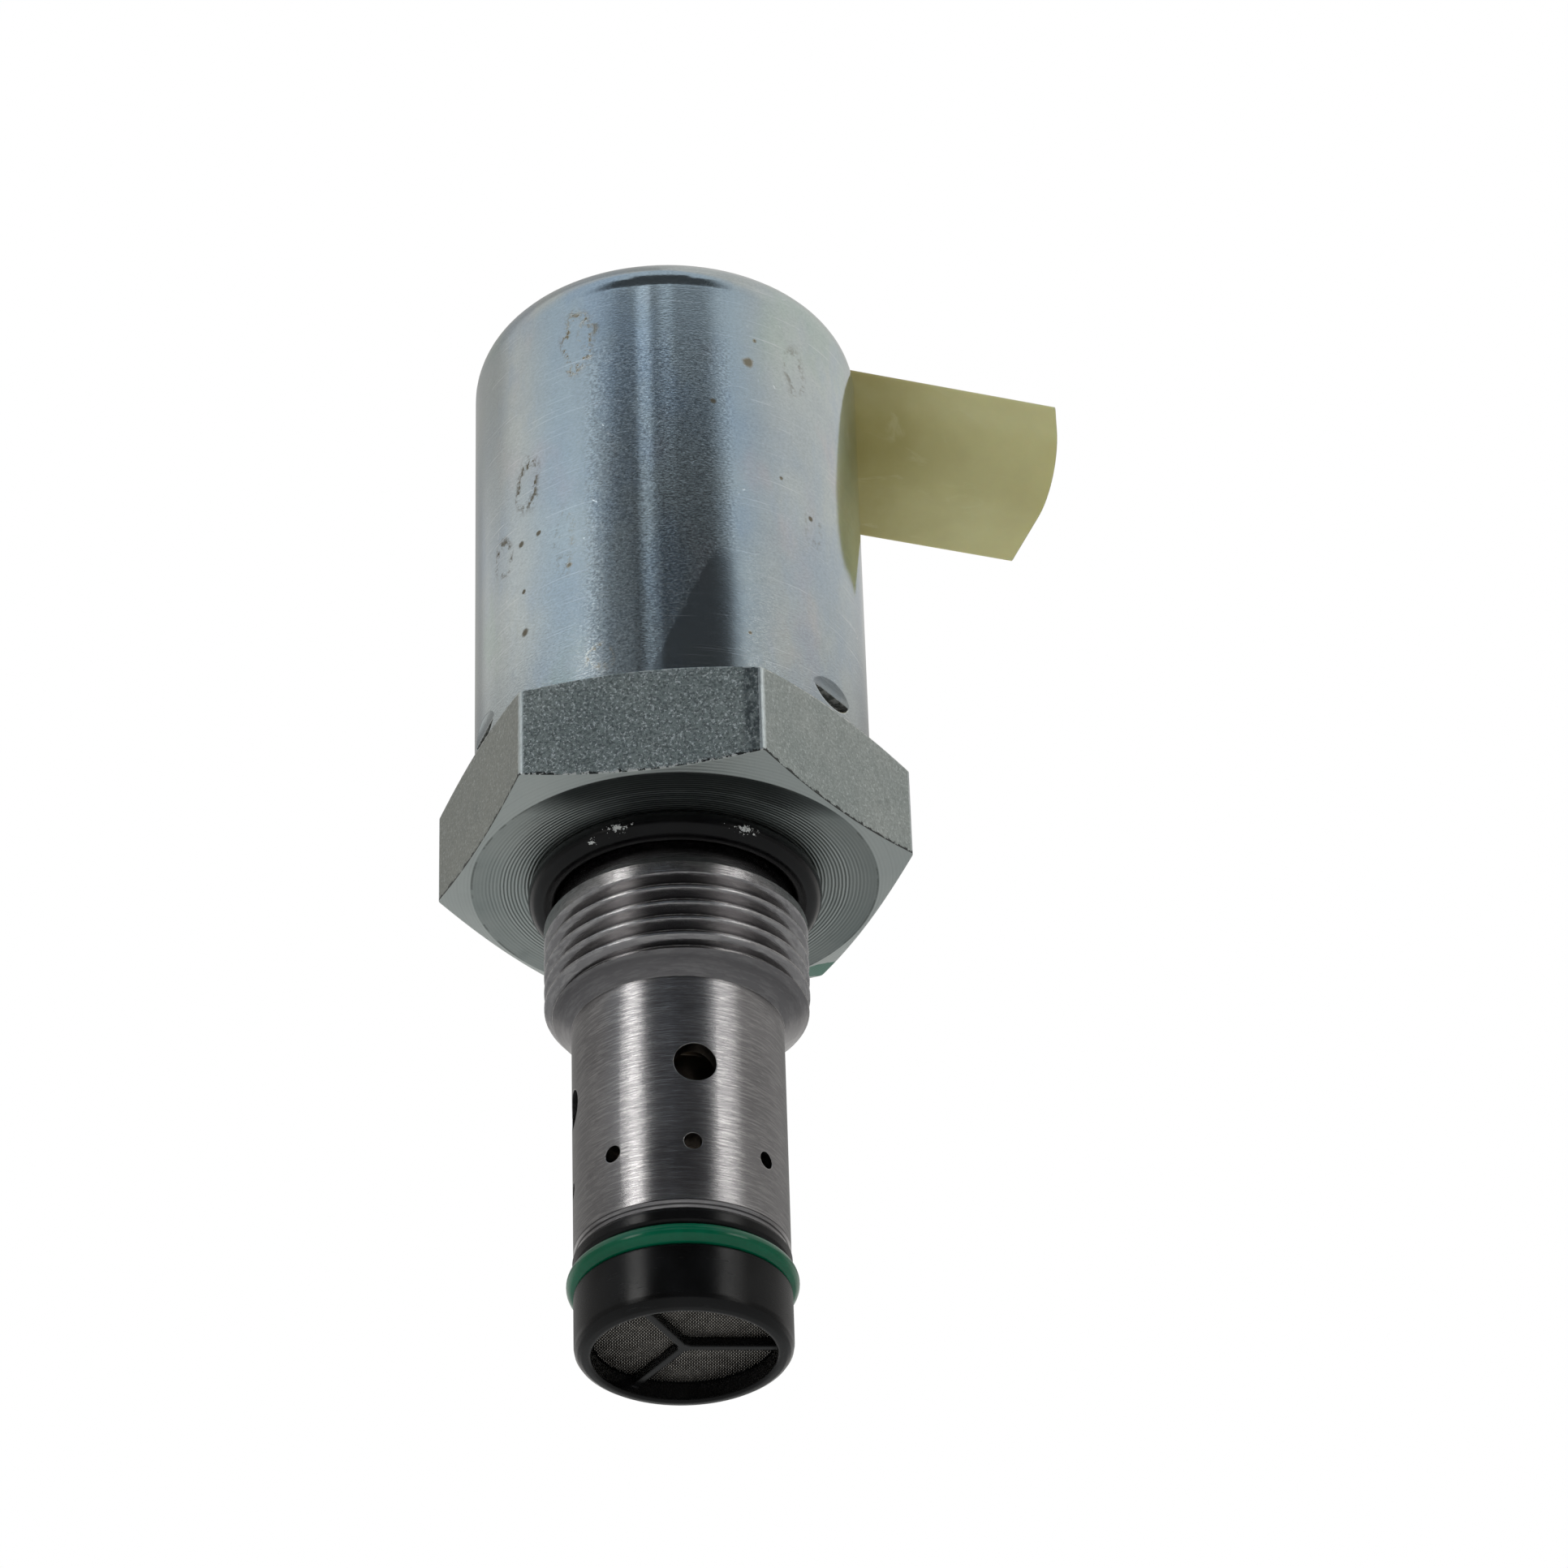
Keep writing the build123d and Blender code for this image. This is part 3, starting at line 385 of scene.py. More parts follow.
def zinc_hex():
    g = Look("zinc_hex")
    r, z = g.radius()
    front = g.facing(HEX_FRONT)
    left = g.facing(HEX_FRONT - 60)
    under = g.below(z, 0.04, 0.02)
    face_z = g.split(g.nodes.new("ShaderNodeTexCoord").outputs["Normal"])[2]
    upright = g.step(g.math("ABSOLUTE", face_z), 0.25, 0.10)
    cloud = g.noise(0.09, 4, 0.6, offset=(1, 5, 3))
    blotch = g.noise(0.35, 4, 0.6, offset=(8, 2, 5))
    grain = g.noise(2.6, 4, 0.65)
    coarse = g.noise(0.9, 4, 0.6, offset=(4, 4, 1))
    base = g.mix(g.step(cloud, 0.32, 0.68), (0.41, 0.46, 0.445), (0.53, 0.57, 0.545))
    # painted shade: the flat that faces the camera and the flat to its left are darker
    base = g.stain(base, front, 0.45, (0.36, 0.42, 0.425))
    base = g.stain(base, left, 0.6, (0.37, 0.37, 0.32))
    base = g.stain(base, g.step(blotch, 0.55, 0.75), 0.3, (0.27, 0.30, 0.29))
    # sugary crystals: bumps and dark flecks, made strongest on the flat that faces the camera as painted
    # shade, and white flecks that are painted glints
    crystal = g.mul(g.add(0.42, g.mul(front, 0.58)), upright)
    dark = g.mul(g.step(g.noise(3.4, 4, 0.8), 0.46, 0.58), crystal)
    base = g.stain(base, dark, 0.72, (0.145, 0.165, 0.158))
    # painted glints: white flecks
    painted_glint = g.mul(g.step(g.noise(3.9, 3, 0.8, offset=(6, 6, 6)), 0.54, 0.62), crystal)
    base = g.stain(base, painted_glint, 0.90, (0.92, 0.98, 0.97))
    # fine upright brushing on the other flats
    brush = g.noise(2.0, 3, 0.6, (1, 1, 0.12), offset=(2, 7, 7))
    brush = g.mul(g.step(brush, 0.56, 0.70), g.sub(1.0, front))
    base = g.stain(base, g.mul(brush, upright), 0.14, (0.24, 0.27, 0.26))
    # rubbed band at the right end of the front flat
    t = g.along(HEX_FRONT + 90)
    band = g.mul(g.above(t, BAND_START, 0.35), g.below(t, BAND_END, 0.125))
    band = g.mul(band, front)
    smear = g.noise(1.6, 4, 0.7, (1, 1, 0.5), offset=(5, 0, 2))
    base = g.mix(g.mul(band, g.step(smear, 0.40, 0.55, 0.2, 0.75)), base, (0.06, 0.075, 0.085))
    base = g.mix(g.mul(band, g.step(smear, 0.62, 0.70)), base, (0.62, 0.68, 0.68))
    # upright corners rubbed bright, and a painted highlight along the upper edge of the flats
    ragged = g.noise(1.6, 5, 0.8)
    lift = g.mul(g.most(g.sub(r, HEX_FACE_RADIUS), 0.0), HEX_CHAMFER_RISE)
    corner = g.add(r, g.wobble(ragged, 0.10))
    corner = g.mul(g.above(corner, HEX_CORNER, 0.0175), upright)
    base = g.mix(g.mul(corner, g.step(ragged, 0.30, 0.60, 0.55, 0.95)), base, (0.74, 0.80, 0.80))
    above = g.sub(g.sub(HEX_HEIGHT, lift), z)
    # painted highlight along the upper edge of the flats
    crest_highlight = g.mul(g.step(above, 0.13, 0.06), g.mul(upright, g.step(ragged, 0.54, 0.46)))
    base = g.stain(base, crest_highlight, 0.85, (0.86, 0.88, 0.86))
    # torn burr along the lower edge of the flats: dark teeth, with bright flakes on the front
    teeth = g.noise(1.3, 4, 0.75, offset=(2, 2, 9))
    below = g.sub(z, lift)
    torn = g.add(below, g.wobble(teeth, 1.5))
    torn = g.mul(g.step(torn, 0.24, 0.14), upright)
    flake = g.mul(g.step(g.noise(1.5, 3, 0.7, offset=(7, 7, 1)), 0.47, 0.52), front)
    base = g.stain(base, torn, 0.92, g.mix(flake, (0.03, 0.031, 0.03), (0.88, 0.90, 0.88)))
    # seating face: painted shade, darkest at the front and darker towards the connector side, less on the
    # chamfer
    shadow = g.step(g.along(-20.0), -14.0, 14.0, 0.20, 0.48)
    front_shade = g.mul(g.step(g.along(VIEW + 6), 8.5, 13.5), g.below(r, HEX_FACE_RADIUS, 0.05))
    shadow = g.most(shadow, g.mul(front_shade, 0.93))
    shadow = g.mul(shadow, g.step(r, HEX_FACE_RADIUS - 0.05, HEX_FACE_RADIUS + 0.05, 1.0, 0.3))
    lower = g.step(face_z, -0.5, -0.8)
    # painted light: the chamfer of the lower face is paler
    chamfer_light = g.mul(g.above(r, HEX_FACE_RADIUS, 0.05), lower)
    base = g.stain(base, chamfer_light, 0.5, (0.66, 0.70, 0.68))
    base = g.mix(g.mul(shadow, lower), base, (0.035, 0.044, 0.043))
    # turning grooves, deepest beside the seal: real grooves in the bump, with painted light and shade
    # lines in the colour
    deep = g.step(r, RIM_RADIUS, 13.4, 0.22, 1.0)
    drift = g.wobble(g.noise(0.35, 3, 0.6, offset=(3, 8, 2)), 2.2)
    turned = g.math("SINE", g.add(g.mul(r, 2 * math.pi / TURNING_PITCH), drift))
    uneven = g.rings(1.3, 3, 0.7)
    turned = g.mul(g.mul(turned, g.step(uneven, 0.30, 0.60, 0.15, 0.5)), deep)
    turned = g.mul(turned, lower)
    base = g.stain(base, g.step(turned, 0.03, 0.40), 0.55, (0.70, 0.75, 0.73))
    base = g.stain(base, g.step(turned, -0.03, -0.40), 0.70, (0.055, 0.065, 0.06))
    rim = g.mul(g.step(g.math("ABSOLUTE", g.sub(r, RIM_RADIUS)), 0.14, 0.02), under)
    rim = g.mul(rim, g.step(g.noise(0.5, 4, 0.7), 0.46, 0.56))
    base = g.stain(base, rim, 0.6, (0.12, 0.13, 0.12))
    # green inspection paint on one corner of the lower face
    brushed = g.wobble(g.noise(0.8, 4, 0.6), 0.7)
    paint = g.below(g.spot(PAINT_CENTRE, 2.0, brushed, stretch=(1.1, 0.8, 1.2)), 0.99, 0.03)
    base = g.mix(paint, base, (0.02, 0.20, 0.125))
    normal, worn = g.edge(0.22 * MM)
    h = g.add(g.mul(grain, 0.9), g.mul(coarse, 0.6))
    h = g.mul(h, g.add(0.30, g.mul(crystal, 1.1)))
    h = g.add(h, g.mul(turned, 1.2))
    rough = g.add(g.step(cloud, 0.3, 0.7, 0.32, 0.42), g.mul(front, 0.08))
    metal = g.sub(0.88, g.mul(paint, 0.88))
    return g.set(color=base, metal=metal, rough=rough, normal=g.bump(h, 0.45, 0.06 * MM, normal))


# ------------------------------------------------------------------ turned and ground steel
THREAD_CREST = 10.875
THREAD_ROOT = 10.25
THREAD_TOP = -4.5
THREAD_FOOT = -13.5
CONE_TOP = -12.4
CONE_FOOT = -14.45
# dark lines painted round the end of the sleeve as shade at its chamfer: height, half width (mm)
END_SHADE_LINES = ((-35.13, 0.06), (-35.47, 0.09))


def ground_steel():
    g = Look("ground_steel")
    r, z = g.radius()
    hone = g.noise(1.0, 3, 0.72, (0.45, 0.45, 5.5))
    lines = g.noise(0.8, 2, 0.5, (0.4, 0.4, 8.0), offset=(2, 2, 2))
    skew = g.noise(0.8, 3, 0.55, (1.0, 1.0, 7.0), distort=0.5, offset=(9, 1, 1))
    cloud = g.noise(0.12, 3, 0.5)
    base = g.mix(g.step(cloud, 0.3, 0.7), (0.27, 0.262, 0.268), (0.335, 0.325, 0.33))
    base = g.stain(base, g.step(hone, 0.46, 0.62), 0.50, (0.50, 0.49, 0.485))
    base = g.stain(base, g.step(skew, 0.44, 0.30), 0.30, (0.15, 0.142, 0.148))
    pits = g.step(g.noise(2.2, 4, 0.8, offset=(5, 5, 5)), 0.70, 0.76)
    base = g.stain(base, pits, 0.7, (0.05, 0.047, 0.045))
    # the crests of the thread are painted paler as a highlight, broken by nicks, and its roots painted
    # dark as shade
    crest_highlight = g.mul(g.above(r, THREAD_CREST, 0.075), g.step(g.noise(1.3, 4, 0.7), 0.36, 0.55))
    base = g.stain(base, crest_highlight, 0.30, (0.62, 0.61, 0.62))
    root_shade = g.below(r, THREAD_ROOT, 0.15)
    root_shade = g.mul(root_shade, g.mul(g.above(z, THREAD_FOOT, 0.5), g.below(z, THREAD_TOP, 0.5)))
    base = g.stain(base, root_shade, 0.45, (0.07, 0.066, 0.07))
    # painted reflection: the cone under the thread is painted dark
    cone_dark_reflection = g.mul(g.above(z, CONE_FOOT, 0.15), g.below(z, CONE_TOP, 0.1))
    base = g.stain(base, cone_dark_reflection, 0.55, (0.10, 0.096, 0.10))
    # painted shade lines round the end of the sleeve
    for height, half in END_SHADE_LINES:
        base = g.stain(base, g.line(z, height, half), 0.85, (0.03, 0.029, 0.03))
    normal, worn = g.edge(0.10 * MM)
    nick = g.mul(g.step(worn, 0.02, 0.10), g.step(g.noise(1.2, 3, 0.6), 0.4, 0.6))
    base = g.stain(base, nick, 0.5, (0.72, 0.71, 0.68))
    chip = g.step(g.noise(1.1, 5, 0.8, (1, 1, 2), offset=(1, 8, 3)), 0.69, 0.72)
    base = g.stain(base, chip, 0.6, (0.06, 0.06, 0.06))
    h = g.add(g.mul(hone, 0.9), g.mul(lines, 0.5))
    h = g.add(h, g.mul(skew, 0.3))
    h = g.sub(h, g.mul(chip, 0.5))
    rough = g.step(cloud, 0.3, 0.7, 0.20, 0.26)
    return g.set(
        color=base, metal=1.0, rough=rough, aniso=0.35, tangent=g.round_tangent(),
        normal=g.bump(h, 0.30, 0.03 * MM, normal),
    )


# ------------------------------------------------------------------ plastics and rubbers
# the arm of the connector, from the can to its free end, and from its lower to its upper side (mm)
ARM_START, ARM_END = 15.0, 30.0
ARM_BOTTOM, ARM_TOP = 45.2, 51.5


def nylon():
    g = Look("natural_nylon")
    # painted light and shade: the arm is paler towards its free end and a little towards its upper side
    reach = g.step(g.along(0), ARM_START, ARM_END)
    height = g.step(g.radius()[1], ARM_BOTTOM, ARM_TOP)
    light = g.add(g.mul(reach, 0.75), g.mul(height, 0.15))
    cloud = g.noise(0.16, 4, 0.55)
    light = g.math("ADD", light, g.wobble(cloud, 0.5), clamp=True)
    base = g.mix(light, (0.47, 0.40, 0.115), (0.96, 0.92, 0.47))
    grain = g.noise(3.0, 4, 0.6)
    swirl = g.noise(0.35, 4, 0.6, (0.5, 1, 1), distort=1.5)
    base = g.stain(base, g.step(swirl, 0.58, 0.72), 0.25, (0.90, 0.87, 0.50))
    normal = g.edge(0.35 * MM)[0]
    h = g.add(g.mul(grain, 0.4), g.mul(swirl, 0.8))
    rough = g.step(grain, 0.3, 0.7, 0.40, 0.55)
    return g.set(
        color=base, rough=rough, sss=0.35, sss_radius=(1.0, 0.75, 0.35), sss_scale=1.6 * MM, ior=1.53,
        normal=g.bump(h, 0.20, 0.05 * MM, normal),
    )


def rubber(name, dark, light, rough, spec=0.5, gleams=()):
    g = Look(name)
    cloud = g.noise(0.3, 4, 0.6)
    dust = g.step(g.noise(4.0, 4, 0.8, offset=(2, 8, 1)), 0.70, 0.78)
    base = g.mix(g.step(cloud, 0.3, 0.7), dark, light)
    base = g.stain(base, dust, 0.25, (0.28, 0.28, 0.25))
    broken = g.wobble(g.noise(2.6, 3, 0.8, offset=(4, 1, 4)), 6.0)
    for centre, size in gleams:
        # painted highlights: pale spots on the rubber
        painted_gleam = g.step(g.spot(centre, size, broken, stretch=(1.6, 1.0, 0.5)), 0.45, 0.25)
        base = g.mix(painted_gleam, base, (0.80, 0.82, 0.80))
    seam = g.noise(1.4, 3, 0.5)
    r = g.add(g.step(cloud, 0.3, 0.7, rough - 0.04, rough + 0.05), g.mul(dust, 0.3))
    return g.set(color=base, rough=r, spec=spec, ior=1.5, normal=g.bump(seam, 0.12, 0.04 * MM))


def black_plastic():
    g = Look("black_plastic")
    cloud = g.noise(0.25, 3, 0.5)
    grain = g.noise(3.5, 3, 0.6, (1, 1, 1.5))
    rub = g.step(g.noise(0.7, 5, 0.7, (0.4, 0.4, 4.0)), 0.60, 0.72)
    base = g.mix(g.step(cloud, 0.3, 0.7), (0.003, 0.003, 0.003), (0.007, 0.007, 0.0075))
    base = g.stain(base, rub, 0.25, (0.05, 0.05, 0.05))
    rough = g.add(g.step(cloud, 0.3, 0.7, 0.20, 0.27), g.mul(rub, 0.12))
    normal = g.bump(grain, 0.18, 0.03 * MM, g.edge(0.25 * MM)[0])
    return g.set(color=base, rough=rough, ior=1.45, spec=0.31, normal=normal)


def metal(name, dark, light, rough, turned=False):
    g = Look(name)
    cloud = g.noise(0.3, 4, 0.6)
    grain = g.noise(1.0, 4, 0.6, (0.4, 0.4, 12.0) if turned else (1, 1, 1))
    base = g.mix(g.step(cloud, 0.3, 0.7), dark, light)
    pits = g.step(g.noise(2.5, 4, 0.8, offset=(3, 3, 3)), 0.68, 0.76)
    base = g.stain(base, pits, 0.5, tuple(c * 0.3 for c in dark))
    normal = g.edge(0.12 * MM)[0]
    r = g.step(cloud, 0.3, 0.7, rough - 0.04, rough + 0.06)
    return g.set(color=base, metal=1.0, rough=r, normal=g.bump(grain, 0.25, 0.04 * MM, normal))


def screen_steel():
    """Dark wire with painted highlights on its crests on the outer side of the weave."""
    g = Look("screen_steel")
    cloud = g.noise(0.5, 4, 0.7)
    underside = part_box("filter_screen")[0][2] / MM
    crest_highlight = g.step(g.radius()[1], underside + 0.080, underside + 0.045)
    fleck = g.step(g.noise(1.5, 3, 0.7, offset=(3, 5, 1)), 0.40, 0.60, 0.55, 1.0)
    base = g.mix(g.step(cloud, 0.3, 0.7), (0.08, 0.072, 0.065), (0.15, 0.137, 0.125))
    # painted highlight on the outer crests of the weave
    base = g.mix(g.mul(crest_highlight, fleck), base, (0.95, 0.91, 0.84))
    rough = g.step(cloud, 0.3, 0.7, 0.28, 0.38)
    return g.set(color=base, metal=1.0, rough=rough, normal=g.bump(cloud, 0.2, 0.02 * MM))


def moulded(name, dark, light, rough):
    g = Look(name)
    cloud = g.noise(0.25, 4, 0.6)
    grain = g.noise(3.0, 3, 0.6)
    base = g.mix(g.step(cloud, 0.3, 0.7), dark, light)
    normal = g.edge(0.25 * MM)[0]
    r = g.step(grain, 0.3, 0.7, rough - 0.05, rough + 0.08)
    return g.set(color=base, rough=r, normal=g.bump(grain, 0.2, 0.04 * MM, normal))


# painted highlights on the flange seal: centre and size (mm)
SEAL_GLEAMS = (((-7.9, -9.4, -1.5), 0.9), ((2.2, -12.05, -1.5), 0.8), ((-9.6, -7.4, -1.9), 0.4))

looks = {
    "zinc_can": zinc_can(),
    "zinc_hex": zinc_hex(),
    "ground_steel": ground_steel(),
    "natural_nylon": nylon(),
    "black_rubber": rubber(
        "black_rubber", (0.002, 0.002, 0.0025), (0.006, 0.006, 0.0065), 0.22, 0.25, SEAL_GLEAMS
    ),
    "green_rubber": rubber("green_rubber", (0.0, 0.14, 0.065), (0.0005, 0.18, 0.088), 0.15, 0.38),
    "black_plastic": black_plastic(),
    "screen_steel": screen_steel(),
    "hard_steel": metal("hard_steel", (0.23, 0.195, 0.15), (0.34, 0.29, 0.23), 0.34, turned=True),
    "soft_iron": metal("soft_iron", (0.40, 0.40, 0.40), (0.50, 0.50, 0.50), 0.36, turned=True),
    "stainless": metal("stainless", (0.52, 0.52, 0.51), (0.62, 0.62, 0.60), 0.24, turned=True),
    "spring_steel": metal("spring_steel", (0.28, 0.28, 0.29), (0.38, 0.38, 0.39), 0.30),
    "tin_brass": metal("tin_brass", (0.62, 0.60, 0.52), (0.72, 0.70, 0.64), 0.28),
    "copper_wire": metal("copper_wire", (0.55, 0.22, 0.09), (0.72, 0.34, 0.15), 0.26, turned=True),
    "bobbin_plastic": moulded("bobbin_plastic", (0.012, 0.012, 0.013), (0.03, 0.03, 0.03), 0.5),
}

for part in frame["record"]["subparts"]:
    obj = nodes[part["node"]]
    obj.data.materials.clear()
    obj.data.materials.append(looks[part["material_slot"]])


# ------------------------------------------------------------------ woven filter screen
# Dutch weave: fine close wires that wave over and under straight, wider-spaced ones.
WEFT_PITCH = 0.13 * MM
WEFT_RADIUS = 0.045 * MM
WARP_PITCH = 0.245 * MM
WARP_RADIUS = 0.035 * MM
WEFT_RISE = WEFT_RADIUS + WARP_RADIUS
WARP_BEARING = -18.0
STEPS_PER_CROSSING = 2
SCREEN_MARGIN = 0.05 * MM
SQUARE_SECTION = ((1, 0), (0, 1), (-1, 0), (0, -1))

low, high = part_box("filter_screen")
screen_radius = (high[0] - low[0]) / 2 - SCREEN_MARGIN
screen_height = (high[2] + low[2]) / 2
verts, faces = [], []


def lay_wire(bearing, offset, pitch, radius, rises):
    """A wire across the disc: offset sideways, with a rise for each step along it."""
    along_x, along_y, _ = level_direction(bearing)
    start = len(verts)
    for k, rise in rises:
        run = k * pitch
        for side, lift in SQUARE_SECTION:
            across = offset + side * radius
            verts.append((
                run * along_x - across * along_y,
                run * along_y + across * along_x,
                screen_height + rise + lift * radius,
            ))
    last = start + 4 * (len(rises) - 1)
    for ring in range(start, last, 4):
        for c in range(4):
            a, b = ring + c, ring + (c + 1) % 4
            faces.append((a, b, b + 4, a + 4))
    faces.append((start + 3, start + 2, start + 1, start))
    faces.append((last, last + 1, last + 2, last + 3))


def rows(pitch):
    """Parallel lines across the disc: number, offset and half length of each."""
    count = int(screen_radius / pitch)
    for i in range(-count, count + 1):
        yield i, i * pitch, math.sqrt(max(screen_radius ** 2 - (i * pitch) ** 2, 0.0))


step_length = WARP_PITCH / STEPS_PER_CROSSING
for i, offset, reach in rows(WEFT_PITCH):
    steps = int(reach / step_length)
    if steps > 1:
        rises = [
            (k, WEFT_RISE * math.cos(math.pi * (k / STEPS_PER_CROSSING + i)))
            for k in range(-steps, steps + 1)
        ]
        lay_wire(WARP_BEARING + 90, offset, step_length, WEFT_RADIUS, rises)
for i, offset, reach in rows(WARP_PITCH):
    if reach > WARP_PITCH:
        lay_wire(WARP_BEARING, offset, reach, WARP_RADIUS, [(-1, 0.0), (1, 0.0)])
screen_mesh = bpy.data.meshes.new("filter_screen_weave")
screen_mesh.from_pydata(verts, [], faces)
for poly in screen_mesh.polygons:
    poly.use_smooth = True
screen_mesh.materials.append(looks["screen_steel"])
weave = bpy.data.objects.new("filter_screen_weave", screen_mesh)
bpy.context.scene.collection.objects.link(weave)
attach(weave, "valve")
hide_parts("filter_screen")


for node, mover in (("spool_spring", "spool"), ("armature_spring", "armature_assembly")):
    low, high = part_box(node)
    coil_mesh = nodes[node].data.copy()
    coil_mesh.transform(nodes[node].matrix_world)
    coil_mesh.materials.clear()
    coil_mesh.materials.append(looks["spring_steel"])
    coil = bpy.data.objects.new(node + "_coils", coil_mesh)
    bpy.context.scene.collection.objects.link(coil)
    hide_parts(node)
    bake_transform(coil)


# ------------------------------------------------------------------ surroundings
# The room's light is a function of direction only. Bearings are in degrees from VIEW, the
# side of the object that faces the camera. Heights are sines of the elevation.
HORIZON = (0.556, 0.588)  # where the darker lower room turns into the brighter upper one
LOWER_ROOM, UPPER_ROOM = 0.27, 0.60
STRIP_LEFT, STRIP_RIGHT = 31.2, 27.8  # edges of the dark strip at its reference height
STRIP_LEFT_SPREAD, STRIP_RIGHT_SPREAD = 472.0, 312.0  # degrees gained per unit of height below it
STRIP_HEIGHT = 0.62
STRIP_STRAIGHT_ABOVE, STRIP_STRAIGHT_BELOW = 0.63, 0.59
LEDGE_LOW, LEDGE_HIGH = 0.6295, 0.690
# tall lamps beside the camera and thin gleams between them:
# bearing, width, soft, low, high, fade, strength
LAMPS = (
    (-48, 8, 8, 0.497, 0.532, 0.012, 4.2),
    (54, 13, 10, 0.497, 0.532, 0.012, 2.9),
    (-50, 10, 8, 0.462, 0.482, 0.012, 9.0),
    (46, 8, 8, 0.462, 0.482, 0.012, 5.0),
    (-48, 12, 4, 0.20, 0.36, 0.012, 2.6),
    (54, 16, 4, 0.20, 0.36, 0.012, 1.9),
    (-12.4, 5, 3, 0.606, 0.690, 0.010, 0.42),
    (1.5, 5, 3, 0.632, 0.690, 0.004, 0.40),
    (-9, 6, 3, 0.5815, 0.5855, 0.003, 0.90),
)

world = bpy.data.worlds.new("studio")
bpy.context.scene.world = world
world.use_nodes = True
sky = Graph(world.node_tree, "Generated")
up = sky.vmath("DOT_PRODUCT", sky.coord, (0, 0, 1))


def window(low, high, soft):
    """1 between two heights, fading to 0 over soft beyond them."""
    return sky.mul(sky.step(up, low - soft, low), sky.step(up, high + soft, high))


def bearing_from(bearing):
    """Angle in radians from a bearing measured from VIEW."""
    return sky.math("ARCTAN2", sky.toward(VIEW + bearing + 90), sky.toward(VIEW + bearing))


def around(bearing, width, soft):
    """1 within width degrees about a bearing, fading to 0 over soft beyond it."""
    angle = sky.math("ABSOLUTE", bearing_from(bearing))
    return sky.step(angle, math.radians(width / 2 + soft), math.radians(width / 2))


def dark_strip():
    """The dark camera side: a strip that narrows upwards, crossed by a pale ledge, and a brow."""
    turned = sky.mul(bearing_from(0), 180 / math.pi)
    limited = sky.most(sky.math("MINIMUM", up, STRIP_STRAIGHT_ABOVE), STRIP_STRAIGHT_BELOW)
    drop = sky.sub(STRIP_HEIGHT, limited)
    left_edge = sky.add(sky.add(turned, STRIP_LEFT), sky.mul(drop, STRIP_LEFT_SPREAD))
    left_edge = sky.sub(left_edge, sky.step(up, 0.587, 0.579, 0.0, 26.0))
    right_edge = sky.sub(sky.add(STRIP_RIGHT, sky.mul(drop, STRIP_RIGHT_SPREAD)), turned)
    strip = sky.mul(sky.step(left_edge, -4.0, 3.0), sky.step(right_edge, -4.0, 3.0))
    strip = sky.mul(strip, window(0.572, 0.93, 0.016))
    ledge = sky.mul(window(LEDGE_LOW, LEDGE_HIGH, 0.003), 0.90)
    strip = sky.mul(strip, sky.sub(1.0, ledge))
    brow = sky.mul(around(-2, 62, 22), window(LEDGE_HIGH + 0.03, 0.88, 0.02))
    return sky.most(strip, brow)


def room_level():
    """Brightness of the room in every direction."""
    level = sky.step(up, *HORIZON, LOWER_ROOM, UPPER_ROOM)
    far_left = sky.mul(around(-146, 44, 24), sky.step(up, *HORIZON, 0.0, 0.34))
    level = sky.sub(level, sky.mul(level, far_left))
    level = sky.add(level, sky.mul(around(180, 80, 40), sky.step(up, 0.52, 0.30, 0.0, 0.5)))
    right_glow = sky.mul(around(104, 50, 25), window(0.5, 0.85, 0.1))
    level = sky.add(level, sky.mul(right_glow, 0.10))
    left_glow = sky.mul(around(-98, 74, 18), window(0.575, 0.594, 0.014))
    level = sky.add(level, sky.mul(left_glow, 0.26))
    shade = sky.mul(around(-1, 66, 6), window(-0.35, 0.556, 0.02))
    shade = sky.most(dark_strip(), shade)
    depth = sky.mul(shade, sky.step(up, 0.54, 0.58, 0.80, 0.915))
    level = sky.mul(level, sky.sub(1.0, depth))
    for bearing, width, soft, low, high, fade, strength in LAMPS:
        lamp = sky.mul(around(bearing, width, soft), window(low, high, fade))
        level = sky.add(level, sky.mul(lamp, strength))
    return level


cool = sky.mul(around(-14, 104, 36), sky.step(up, 0.555, 0.585))
room = sky.nodes.new("ShaderNodeBackground")
sky.put(room.inputs["Color"], sky.mix(cool, (1.0, 0.99, 0.965), (0.80, 0.93, 1.06)))
sky.put(room.inputs["Strength"], room_level())
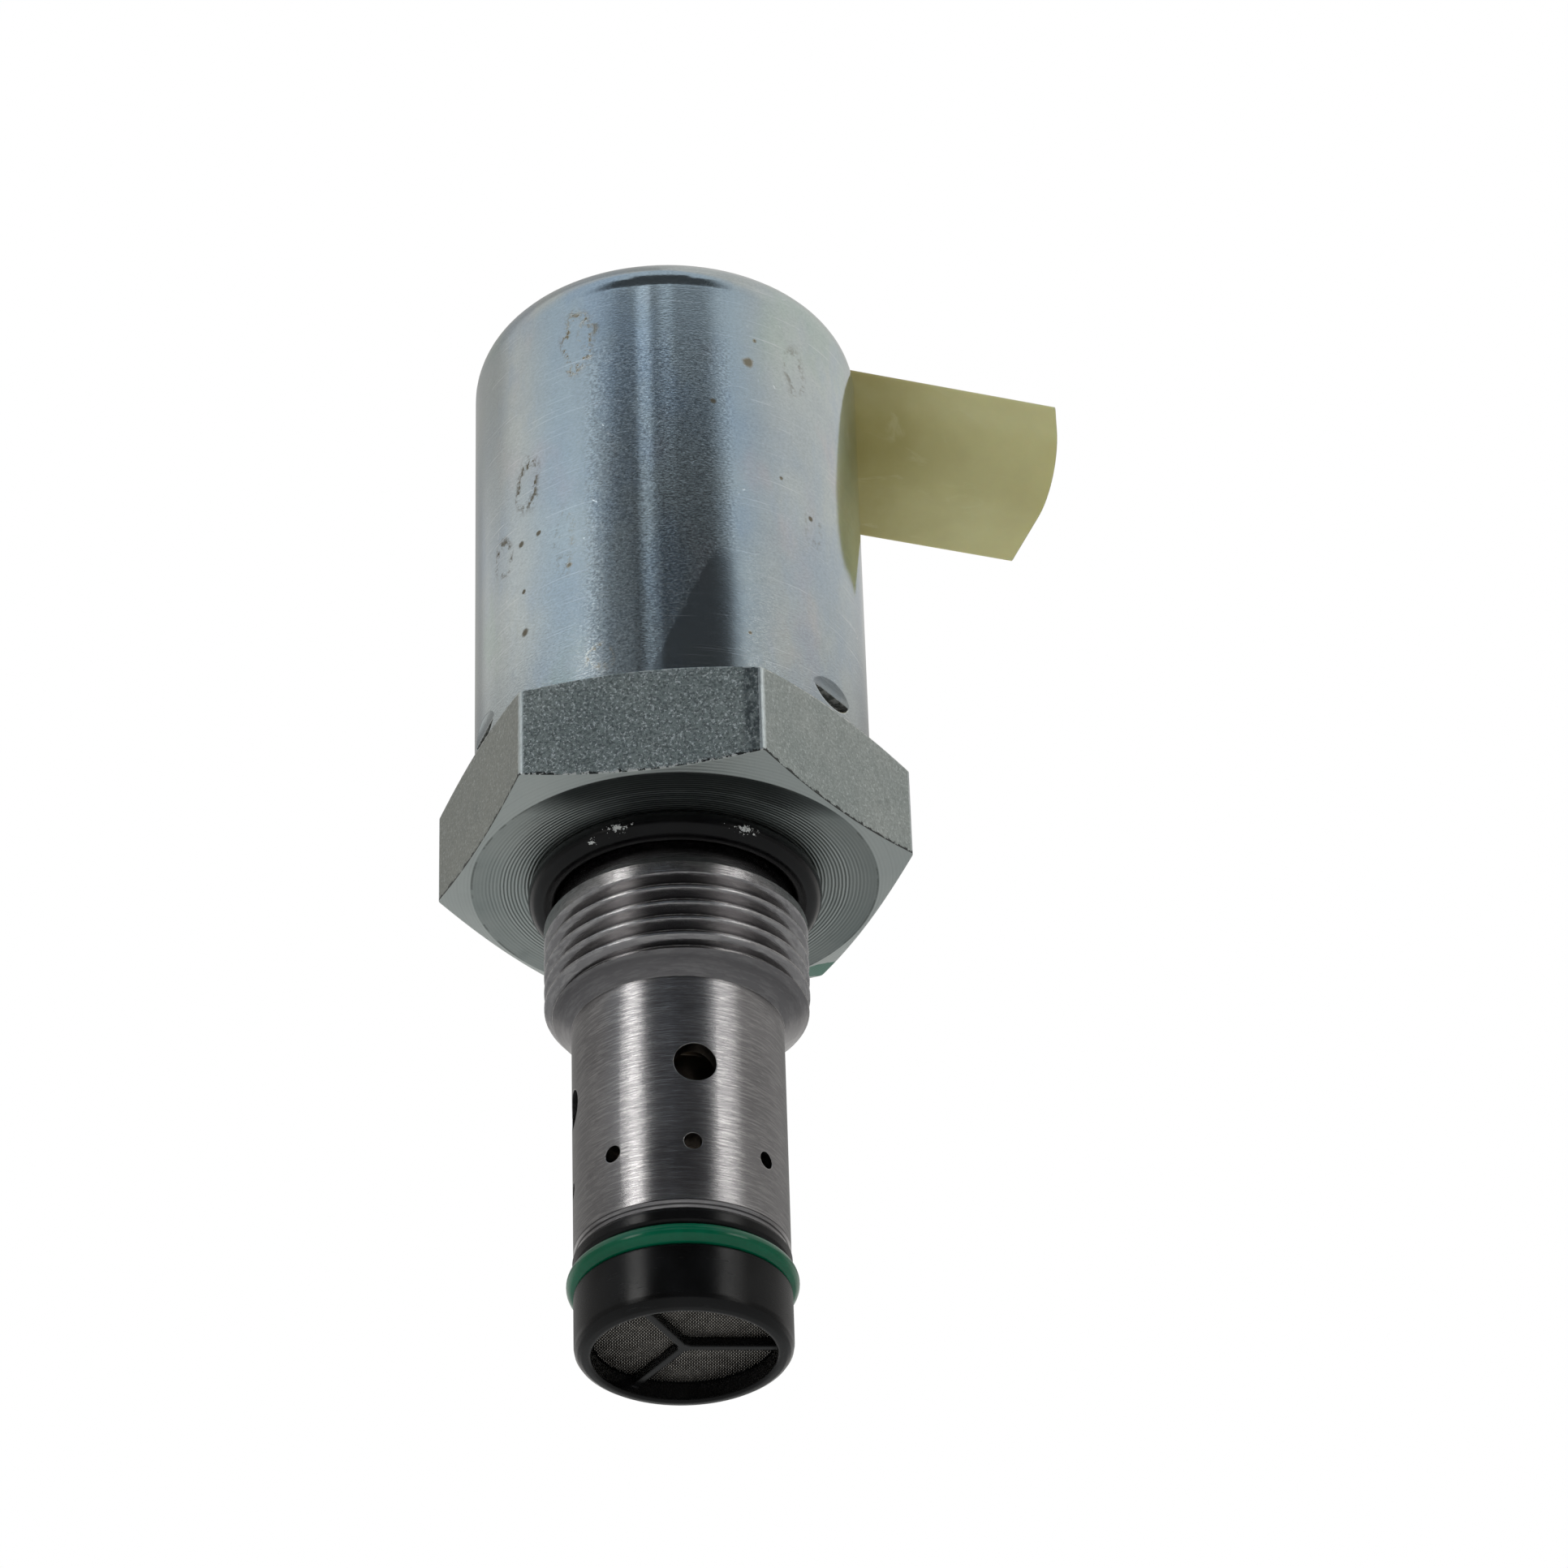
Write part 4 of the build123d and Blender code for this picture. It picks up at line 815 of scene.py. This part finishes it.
# the camera itself sees plain white behind the object
white = sky.nodes.new("ShaderNodeBackground")
white.inputs["Color"].default_value = (1, 1, 1, 1)
either = sky.nodes.new("ShaderNodeMixShader")
sky.put(either.inputs[0], sky.nodes.new("ShaderNodeLightPath").outputs["Is Camera Ray"])
sky.put(either.inputs[1], room.outputs[0])
sky.put(either.inputs[2], white.outputs[0])
sky.put(sky.nodes.new("ShaderNodeOutputWorld").inputs[0], either.outputs[0])

FLOOR_HEIGHT = -0.62
FLOOR_SIZE = 4.0


def pale_floor():
    g = Look("pale_floor")
    tone = g.noise(0.01, 3, 0.5)
    base = g.mix(g.step(tone, 0.3, 0.7), (0.86, 0.86, 0.855), (0.89, 0.89, 0.885))
    return g.set(color=base, rough=0.8)


floor_mesh = bpy.data.meshes.new("floor")
bm = bmesh.new()
place = Matrix.Translation((0, 0, FLOOR_HEIGHT))
bmesh.ops.create_grid(bm, x_segments=8, y_segments=8, size=FLOOR_SIZE, matrix=place)
bm.to_mesh(floor_mesh)
bm.free()
floor = bpy.data.objects.new("floor", floor_mesh)
floor.data.materials.append(pale_floor())
bpy.context.scene.collection.objects.link(floor)


# ------------------------------------------------------------------ camera
# Place, axes and focal length are those of the photograph's camera, fitted to its outlines.
CAMERA_PLACE = (-0.1249931, -0.3877464, -0.2657572)
CAMERA_RIGHT = (0.949996, -0.3110684, -0.0272768)
CAMERA_DOWN = (0.1530962, 0.5401179, -0.8275471)
CAMERA_AHEAD = (0.2721564, 0.7819905, 0.5607332)
FOCAL_LENGTH = 133.376

cam = bpy.data.cameras.new("camera")
cam.sensor_width = 36.0
cam.lens = FOCAL_LENGTH
cam.clip_start = 0.01
cam.clip_end = 20.0
camera = bpy.data.objects.new("camera", cam)
turn = Matrix((Vector(CAMERA_RIGHT), -Vector(CAMERA_DOWN), -Vector(CAMERA_AHEAD))).transposed().to_4x4()
camera.matrix_world = Matrix.Translation(CAMERA_PLACE) @ turn
bpy.context.scene.collection.objects.link(camera)
bpy.context.scene.camera = camera
bpy.context.scene.view_settings.view_transform = "Standard"
